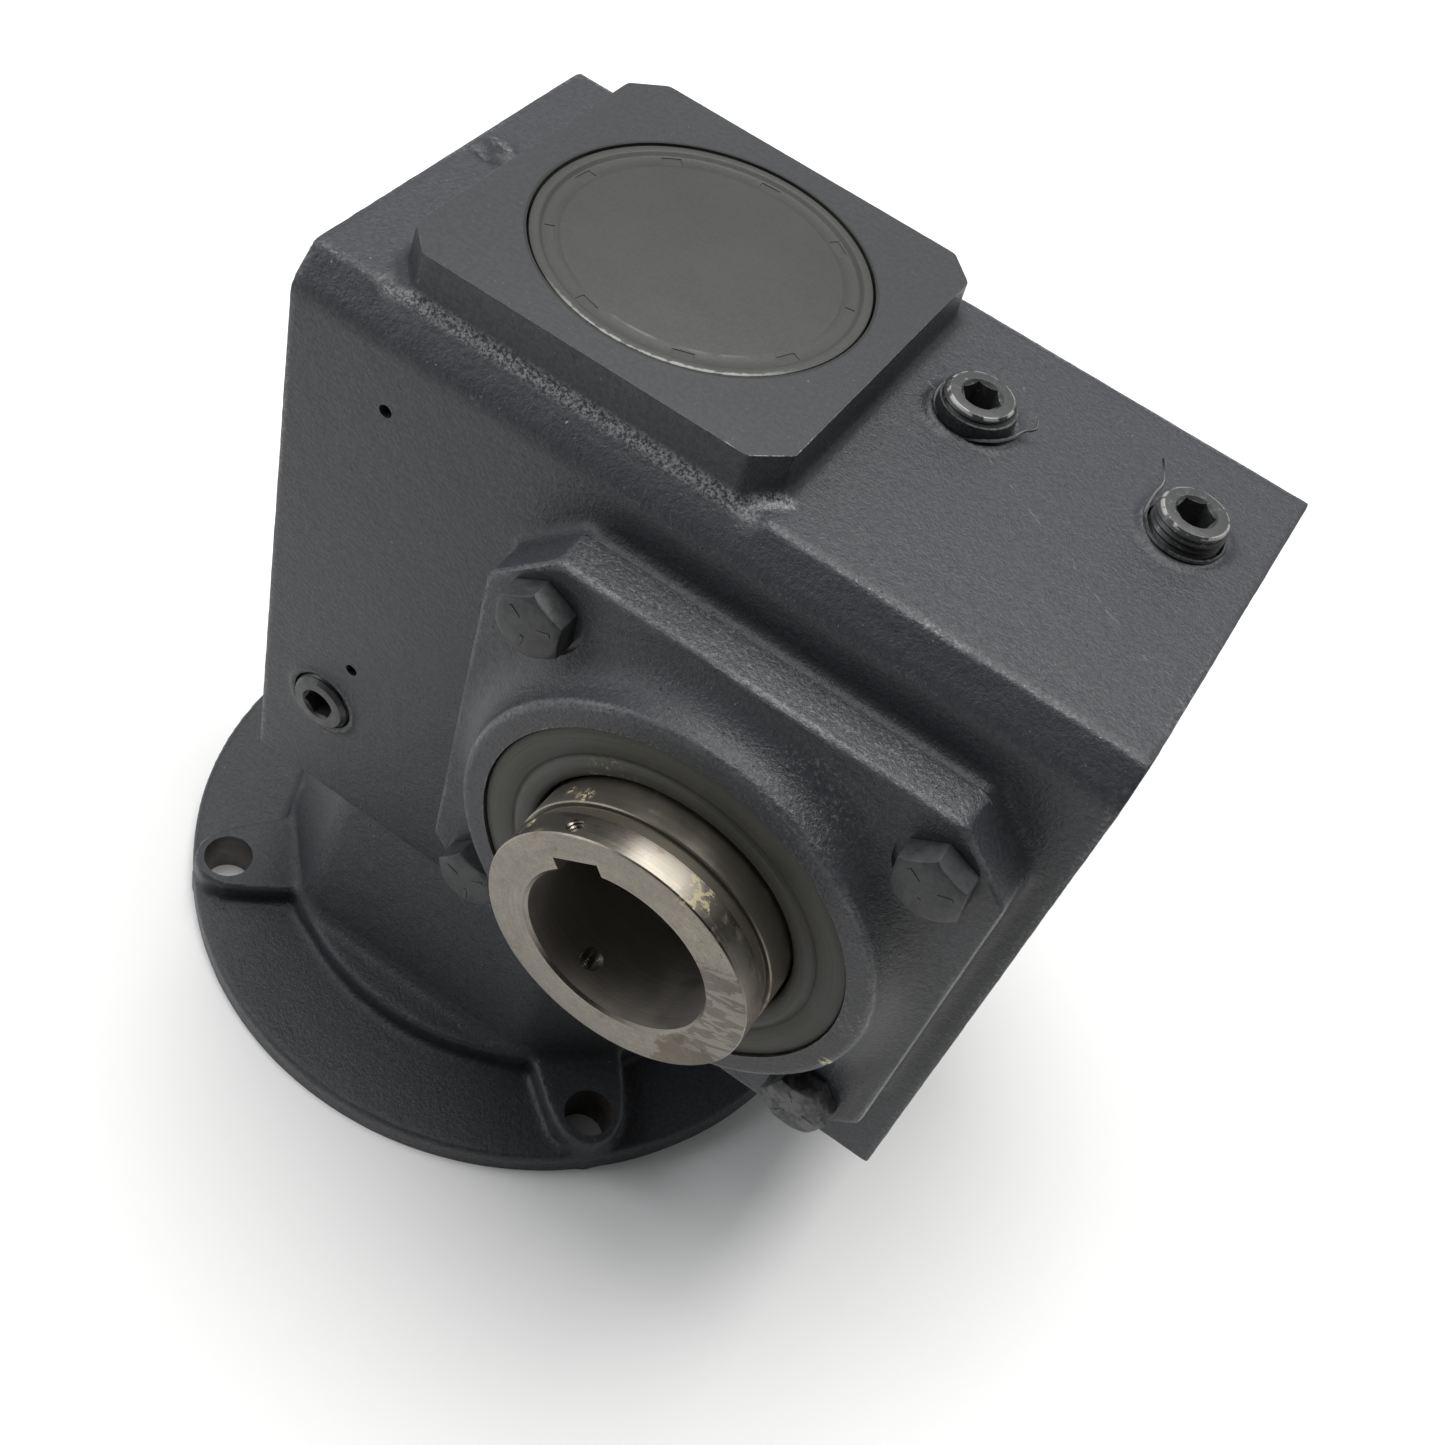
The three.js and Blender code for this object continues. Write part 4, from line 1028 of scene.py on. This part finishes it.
def flange_faces(c, n):
    idx = np.zeros(len(c), int)
    r = np.hypot(c[:, 0], c[:, 1])
    idx[(c[:, 2] < 0.02) | ((r < 57.4) & (c[:, 2] < 5.2))] = 1
    idx[(r < 42.2) & (c[:, 2] < 50.5)] = 1
    for k in range(4):
        a = math.radians(45 + 90 * k)
        idx[(np.hypot(c[:, 0] - 40.3 * math.cos(a), c[:, 1] - 40.3 * math.sin(a)) < 7.9) & (c[:, 2] < 38.2)] = 1
        rr = np.hypot(c[:, 0] - 74.6 * math.cos(a), c[:, 1] - 74.6 * math.sin(a))
        idx[(rr < 5.62) & (np.abs(n[:, 2]) < 0.2)] = 1
    return idx


motor_flange = casting("motor_flange_body", flange_field, (-82.55, -82.55, -2.0), (82.55, 82.55, 54.0), 0.85,
                       [M_FLANGE, M_IRON], "housing", ["motor_flange"], (flange_cut_1, flange_cut_2, flange_cut_3),
                       rough=0.12, faces=flange_faces)


# ------------------------------------------------------------------ covers
def cover_field(X, Y, Z):
    r = np.sqrt(X ** 2 + Y ** 2)
    slab = I(octagon(X, Y, 51.4, 12.3, 0.8), Z - 56.1, 0.8)
    slab = np.maximum(slab, 46.4 - Z)
    boss = I(r - 43.2, Z - 65.2, 1.5)
    d = U(slab, np.maximum(boss, 46.4 - Z), 8.2)
    d = np.maximum(d, 46.4 - Z)
    d = np.minimum(d, np.maximum(r - 48.5, np.maximum(31.2 - Z, Z - 55)))
    cut = np.maximum(r - 44.5, Z - 52)
    cut = np.minimum(cut, r - 31.5)
    for sx in (-1, 1):
        for sy in (-1, 1):
            rb = np.sqrt((X - 39.2 * sx) ** 2 + (Y - 39.2 * sy) ** 2)
            cut = np.minimum(cut, rb - 4.1)
    return np.maximum(d, -cut)


def cover_cutters(put):
    g = rod(37.9, 55.0, 72, 160)
    for sx in (-1, 1):
        for sy in (-1, 1):
            g = g + rod(8.2, 56.0, 72, 64).move(39.2 * sx, 39.2 * sy, 0)
    under = lathe([(48.56, 44.5), (82, 44.5), (82, 47.38), (48.56, 47.38)], 160)
    return [g.map(put), under.map(put)]


def cover_faces(c, n):
    idx = np.zeros(len(c), int)
    r = np.hypot(c[:, 0] - OX, c[:, 2] - OZ)
    idx[(r < 38.0) & (np.abs(c[:, 1]) > 54.9)] = 2
    idx[(r < 45) & (np.abs(c[:, 1]) < 54.9)] = 2
    for sx in (-1, 1):
        for sz in (-1, 1):
            rb = np.hypot(c[:, 0] - OX - 39.2 * sx, c[:, 2] - OZ - 39.2 * sz)
            idx[(rb < 8.3) & (np.abs(np.abs(c[:, 1]) - 56.0) < 0.03)] = 1
    return idx


for side, put in (("front", front), ("rear", rear)):
    casting(side + "_cover_body", cover_field, (-51.4, -51.4, 31.2), (51.4, 51.4, 65.2), 0.62,
            [M_COVER, M_MACH, M_IRON], "housing", [side + "_cover"], cover_cutters(put),
            rough=0.10, place=put, faces=cover_faces)

# the gaskets, squeezed a little short of the edge and painted over with the rest
for side, put in (("front", front), ("rear", rear)):
    h, c = 51.36, 12.28
    pts = [(h, -h + c), (h, h - c), (h - c, h), (-h + c, h), (-h, h - c), (-h, -h + c), (-h + c, -h), (h - c, -h)]
    gk = prism(pts, 47.3, 47.38).map(put)
    o = piece(side + "_gasket", gk, "housing", M_MACH, side + "_cover_gasket", 30, cut=(rod(48.8, 40, 60, 96).map(put),))

# ------------------------------------------------------------------ output seals
seal_outline = [(37.8, 55.15), (37.8, 64.3), (37.5, 64.6), (32.2, 64.6), (31.9, 64.45), (31.6, 64.3), (31.3, 64.35), (31.0, 64.7), (30.5, 65.0), (29.9, 65.12),
                (29.2, 65.15), (28.4, 65.1), (27.8, 64.9), (27.35, 64.5), (27.1, 63.9), (27.0, 63.2), (26.95, 61.0), (27.0, 59.6), (29.5, 59.0), (34.6, 57.8), (34.6, 55.15)]
for side, put in (("front", front), ("rear", rear)):
    piece(side + "_oil_seal", lathe(seal_outline, 160).map(put), "housing", M_SEAL, side + "_output_seal", 50)


# ------------------------------------------------------------------ cover bolts
def hex_bolt(rot):
    head = prism(hexagon(12.6), 56.0, 61.4)
    cone = lathe([(0, 55.9), (8.4, 55.9), (8.4, 60.05), (6.15, 61.2), (5.6, 61.38), (0, 61.4)], 72)
    shank = lathe([(0, 30.1), (3.1, 30.1), (3.7, 30.7), (3.7, 56.3), (0, 56.3)], 32)
    marks = None
    for k in range(3):
        g = block(-0.35, 0.35, 2.2, 4.9, 61.2, 61.51).rotz(math.radians(120 * k + 18))
        marks = g if marks is None else marks + g
    turn_ = lambda g: g.rotz(rot)
    return turn_(head), turn_(cone), turn_(shank), turn_(marks)


def bolt_piece(name, node, put, sx, sy, rot, mat):
    head, cone, shank, marks = (g.move(39.2 * sx, 39.2 * sy, 0).map(put) for g in hex_bolt(rot))
    o = add_object(name, to_mesh(name, head))
    boolean(o, cone, op="INTERSECT")
    bevel(o, 0.32, 3, 25)
    boolean(o, marks, op="UNION")
    boolean(o, shank, op="UNION")
    o.data.materials.clear()
    o.data.materials.append(mat)
    smooth(o, 38)
    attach(o, "housing")
    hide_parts(node)
    return o


for side, put, angs in (("front", front, [33, 36, 8, 52]), ("rear", rear, [20, 5, 41, 27])):
    for i, (sx, sy) in enumerate([(-1, 1), (1, 1), (1, -1), (-1, -1)]):
        bolt_piece("%s_hex_bolt_%d" % (side, i + 1), "%s_cover_bolt_%d" % (side, i + 1), put, sx, sy, math.radians(angs[i]),
                   M_BOLT_WORN if (side, i) == ("front", 2) else M_BOLT)

# ------------------------------------------------------------------ output shaft
half = [(18.26, 78.7), (18.86, 79.3), (26.0, 79.3), (26.35, 79.2), (26.6, 78.9), (26.6, 73.75), (26.35, 73.5), (25.6, 73.45), (25.4, 73.25), (25.4, 71.05),
        (25.6, 70.85), (26.35, 70.8), (26.6, 70.55), (26.6, 33.0), (29.5, 33.0)]
back = [(34.0, -20.0), (34.0, -33.0), (26.6, -33.0)] + [(r, -z) for r, z in reversed(half[:-2])]
shaft_geo = lathe(half + [(29.5, -20.0)] + back, 192).map(front)


def shaft_cutters():
    slot = block(-4.7625, 4.7625, 0, 20.8, -90, 90).rotz(math.radians(34.7))
    # the wheel key's pocket: a block that stops at the same radius as the key seat
    c = [(-4, 26.0), (4, 26.0), (4, 36.0), (-4, 36.0)]
    seat = prism(c, -18.2, 18.2).rotz(math.radians(145))
    def hole(a, z, r, depth, pitch):
        g = threaded(lambda t: r, 14.0, 30.0, pitch, depth, 36, 0.12)
        g = g.map(lambda V: np.column_stack([V[:, 0], -V[:, 2], V[:, 1]])).rotz(math.radians(a))
        return g.move(0, 0, z)
    h1 = hole(180 + 33.3, 76.6, 1.75, 0.3, 0.8)
    h2 = hole(-18, 72.1, 2.6, 0.42, 0.95)
    return [slot.map(front), (seat + h2).map(front), h1.map(front)]


shaft = piece("hollow_shaft", shaft_geo, "output", M_SHAFT, "output_shaft", 28)
shaft.data.materials.append(M_BORE)
boolean(shaft, *shaft_cutters())
me = shaft.data
n = len(me.polygons)
cen, nor = np.zeros(n * 3, np.float32), np.zeros(n * 3, np.float32)
me.polygons.foreach_get("center", cen)
me.polygons.foreach_get("normal", nor)
cen, nor = cen.reshape(-1, 3) * 1000, nor.reshape(-1, 3)
cr = np.hypot(cen[:, 0] + SHIFT - OX, cen[:, 2] - OZ)
me.polygons.foreach_set("material_index", ((cr < 25.2) & (np.abs(cen[:, 1]) < 79.2) & (np.abs(nor[:, 1]) < 0.5)).astype(np.int32))
smooth(shaft, 28)

# ------------------------------------------------------------------ end cap
cap_outline = [(0, 192.6), (0, 194.66), (25.0, 194.66), (25.25, 194.62), (25.45, 194.5), (28.0, 194.5), (28.35, 194.62), (28.7, 195.15), (29.0, 195.25),
               (30.1, 195.25), (30.5, 195.1), (30.7, 194.7), (30.7, 187.2), (27.5, 187.2), (27.5, 192.6)]
tabs = None
for k in range(9):
    g = prism([(25.9, -1.9), (27.8, -1.9), (27.8, 1.9), (25.9, 1.9)], 194.38, 196).rotz(math.radians(15 + 40 * k))
    tabs = g if tabs is None else tabs + g
piece("worm_end_cap", lathe(cap_outline, 160), "housing", M_CAP, "end_cap", 40, cut=(tabs,))


# ------------------------------------------------------------------ pipe plugs
def plug_geo(length):
    body = threaded(lambda z: 6.5 + 0.032 * z, 0.9, length - 0.9, 1.411, 0.5, 64, 0.14)
    V, F = body.V, [f for f in body.F if len(f) == 4]
    n = 64
    m = len(V) // n
    ang = np.arange(n) * 2 * math.pi / n
    ring = lambda r, z: np.column_stack([r * np.cos(ang), r * np.sin(ang), np.full(n, z)])
    V = np.vstack([V, ring(6.15, 0.4), ring(5.4, 0.0), ring(6.25, length - 0.4), ring(5.95, length - 0.08), ring(5.5, length)])
    lo, a, b, c, d, e = 0, m * n, (m + 1) * n, (m + 2) * n, (m + 3) * n, (m + 4) * n
    top = (m - 1) * n
    for i in range(n):
        j = (i + 1) % n
        F += [(lo + j, lo + i, a + i, a + j), (a + j, a + i, b + i, b + j), (top + i, top + j, c + j, c + i), (c + i, c + j, d + j, d + i), (d + i, d + j, e + j, e + i)]
    F.append(tuple(b + i for i in range(n - 1, -1, -1)))
    F.append(tuple(e + i for i in range(n)))
    return Geo(V, F).out()


def plug_socket(length, rot):
    g = prism(hexagon(6.35, rot), length - 6, length + 1)
    c = lathe([(0, length - 0.55), (3.35, length - 0.55), (4.0, length + 0.1), (4.0, length + 1), (0, length + 1)], 48)
    return g, c


def plug(name, node, length, put, rot, mat):
    g = plug_geo(length).rotz(rot + 2.0)
    s, c = plug_socket(length, rot)
    return piece(name, g.map(put), "housing", mat, node, 34, cut=(s.map(put), c.map(put)))


plug("top_pipe_plug_1", "top_plug_1", 11, lambda V: V + np.array([52.6, 11.0, 180.8]), 0.1, M_PLUG)
plug("top_pipe_plug_2", "top_plug_2", 11, lambda V: V + np.array([94.2, 12.9, 181.3]), 0.35, M_PLUG)
plug("front_pipe_plug", "front_plug", 9.2, lambda V: np.column_stack([-36.6 + V[:, 0], -37.4 - V[:, 2], 79.7 + V[:, 1]]), 0.25, M_PLUG_PAINTED)
plug("rear_pipe_plug", "rear_plug", 9.2, lambda V: np.column_stack([-36.6 + V[:, 0], 37.4 + V[:, 2], 79.7 - V[:, 1]]), 0.6, M_PLUG_PAINTED)


# ------------------------------------------------------------------ slivers of paint and sealant round the plugs
def sliver(path, w0, w1, t):
    """A thin tapering strip along a path, four-sided."""
    path = np.array(path, float)
    fine = []
    for i in range(len(path) - 1):
        for k in range(6):
            fine.append(path[i] + (path[i + 1] - path[i]) * k / 6)
    fine.append(path[-1])
    p = np.array(fine)
    for _ in range(6):
        p[1:-1] = (p[:-2] + 2 * p[1:-1] + p[2:]) / 4
    n = len(p)
    tan = np.gradient(p, axis=0)
    tan /= np.linalg.norm(tan, axis=1)[:, None]
    side = np.cross(tan, [0, 0, 1.0])
    side /= np.linalg.norm(side, axis=1)[:, None] + 1e-9
    up = np.cross(side, tan)
    u = np.linspace(0, 1, n)
    w = (w0 + (w1 - w0) * u) * np.sqrt(np.clip(1.02 - (2 * u - 1) ** 4, 0.05, 1))
    V, F = [], []
    for i in range(n):
        for k in range(6):
            a = k * math.pi / 3
            V.append(p[i] + side[i] * w[i] * math.cos(a) + up[i] * t * math.sin(a))
    for i in range(n - 1):
        for k in range(6):
            a, b = i * 6 + k, i * 6 + (k + 1) % 6
            F.append((a, b, b + 6, a + 6))
    F.append(tuple(range(5, -1, -1)))
    F.append(tuple(range((n - 1) * 6, n * 6)))
    return Geo(V, F).out()


def ring_path(cx, cy, r, a0, a1, z0, z1, n=9, grow=0.0):
    return [(cx + (r + grow * u) * math.cos(math.radians(a0 + (a1 - a0) * u)), cy + (r + grow * u) * math.sin(math.radians(a0 + (a1 - a0) * u)), z0 + (z1 - z0) * u)
            for u in np.linspace(0, 1, n)]


# plug 1: a sliver on the left, and a curl on the right that lifts off the face
piece("plug_1_sliver_left", sliver(ring_path(52.6, 11.0, 7.6, 150, 232, 188.6, 187.4, grow=-0.2), 0.45, 0.35, 0.28), "housing", M_FLAKE)
piece("plug_1_curl_right", sliver([(54.5, 3.6, 187.4), (57.2, 4.6, 188.2), (59.6, 6.8, 188.4), (61.0, 9.8, 188.2), (61.6, 12.2, 188.6), (63.6, 13.2, 189.4), (62.6, 15.0, 190.2)], 0.5, 0.22, 0.22),
      "housing", M_FLAKE)
piece("plug_1_collar", sliver(ring_path(52.6, 11.0, 7.15, -178, 40, 188.5, 188.9), 0.55, 0.5, 1.7), "housing", M_FLAKE)
# plug 2: a curl standing at the upper left, and a torn collar under the threads
piece("plug_2_curl", sliver([(87.2, 10.0, 187.4), (86.5, 13.0, 188.0), (86.3, 16.4, 188.4), (86.8, 19.4, 189.0), (85.2, 21.6, 190.2), (84.2, 22.2, 191.4)], 0.5, 0.2, 0.24),
      "housing", M_FLAKE)
piece("plug_2_collar", sliver(ring_path(94.2, 12.9, 7.5, 175, 385, 187.8, 187.5), 0.42, 0.36, 0.45), "housing", M_FLAKE)

# ------------------------------------------------------------------ the flange screws, seen from below; the worm shaft's quill outline is listed but not built
quill = [(7.94, 10.5), (8.44, 10.0), (14.2, 10.0), (15.0, 10.8), (15.0, 70.2), (17.5, 70.4), (17.5, 78.2), (10.2, 84.0), (7.0, 84.0), (7.0, 66.0), (7.94, 66.0)]
sc_head = [(0, 30.2), (5.7, 30.2), (6.3, 30.5), (6.5, 31.0), (6.5, 38.0), (3.8, 38.1), (3.8, 61.4), (3.2, 62.0), (0, 62.0)]
for i in range(4):
    a = math.radians(45 + 90 * i)
    cx, cy = 40.3 * math.cos(a), 40.3 * math.sin(a)
    piece("socket_screw_%d" % (i + 1), lathe(sc_head, 48).move(cx, cy, 0), "housing", M_PLUG, "flange_screw_%d" % (i + 1), 34,
          cut=(prism(hexagon(6.35), 25, 34.2).rotz(a).move(cx, cy, 0),))

# ------------------------------------------------------------------ carried-over nodes
LOOKS = {
    "flange_gasket": M_MACH, "front_cover_gasket": M_GASKET, "rear_cover_gasket": M_GASKET, "input_seal": M_RUBBER,
    "worm_shaft": M_WORM, "worm_wheel": M_BRONZE, "wheel_key": M_KEY, "wheel_spacer": M_KEY, "worm_retaining_ring": M_KEY,
}
for nm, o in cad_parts.items():
    if o.hide_render:
        continue
    mat = LOOKS.get(nm)
    if mat is None:
        mat = M_CAGE if ("rollers" in nm or "balls" in nm) else M_RACE
    o.data.materials.clear()
    o.data.materials.append(mat)

# ------------------------------------------------------------------ stage, light, camera
bm = bmesh.new()
bmesh.ops.create_grid(bm, x_segments=8, y_segments=8, size=3.0)
fm = bpy.data.meshes.new("floor")
bm.to_mesh(fm)
bm.free()
floor = add_object("floor", fm)
floor.location = (0, 0, -0.00002)
g = Mat("floor_paper")
g.done(Base_Color=g.mix(g.step(g.noise(0.004, 2.0), 0.3, 0.7), (0.87, 0.868, 0.862), (0.91, 0.908, 0.902)), Roughness=0.8)
fm.materials.append(g.m)


def area(name, loc, target, size, power, colour=(1, 1, 1)):
    l = bpy.data.lights.new(name, "AREA")
    l.shape, l.size, l.energy, l.color = "SQUARE", size, power, colour
    o = add_object(name, l)
    o.location = loc
    o.rotation_mode = "QUATERNION"
    o.rotation_quaternion = (Vector(target) - Vector(loc)).to_track_quat("-Z", "Y")
    return o


area("softbox_top", (0.0, 0.25, 1.25), (0.0, 0.0, 0.1), 1.0, 18.6, (1.0, 0.99, 0.975))
area("softbox_left", (-1.2, -0.6, 0.8), (0.0, 0.0, 0.1), 0.9, 7.6, (0.96, 0.98, 1.0))
w = bpy.data.worlds.new("studio")
w.use_nodes = True
bg = w.node_tree.nodes["Background"]
bg.inputs[0].default_value = (0.97, 0.985, 1.0, 1)
tc = w.node_tree.nodes.new("ShaderNodeTexCoord")
dot = w.node_tree.nodes.new("ShaderNodeVectorMath")
dot.operation = "DOT_PRODUCT"
dot.inputs[1].default_value = Vector((0.55, -0.78, 0.30)).normalized()
mr = w.node_tree.nodes.new("ShaderNodeMapRange")
mr.interpolation_type = "SMOOTHSTEP"
for k, v in (("From Min", 0.0), ("From Max", 0.85), ("To Min", 0.60), ("To Max", 0.03)):
    mr.inputs[k].default_value = v
w.node_tree.links.new(tc.outputs["Generated"], dot.inputs[0])
w.node_tree.links.new(dot.outputs["Value"], mr.inputs["Value"])
w.node_tree.links.new(mr.outputs[0], bg.inputs[1])
bpy.context.scene.world = w
vs = bpy.context.scene.view_settings
vs.view_transform = "Standard"
vs.look = "None"
vs.exposure = 0.0
vs.gamma = 1.0

cam = bpy.data.cameras.new("camera")
cam.lens, cam.sensor_width, cam.sensor_fit = 44.07, 36.0, "AUTO"
cam.clip_start, cam.clip_end = 0.01, 20.0
co = add_object("camera", cam)
right = Vector((0.82361, 0.51424, 0.23921))
down = Vector((0.54103, -0.58585, -0.60338))
fwd = Vector((-0.17014, 0.62637, -0.76073))
fwd.normalize()
right = (right - right.dot(fwd) * fwd).normalized()
up = right.cross(fwd).normalized()
co.matrix_world = Matrix(((right.x, up.x, -fwd.x, 0.084575), (right.y, up.y, -fwd.y, -0.23713), (right.z, up.z, -fwd.z, 0.37957), (0, 0, 0, 1)))
bpy.context.scene.camera = co
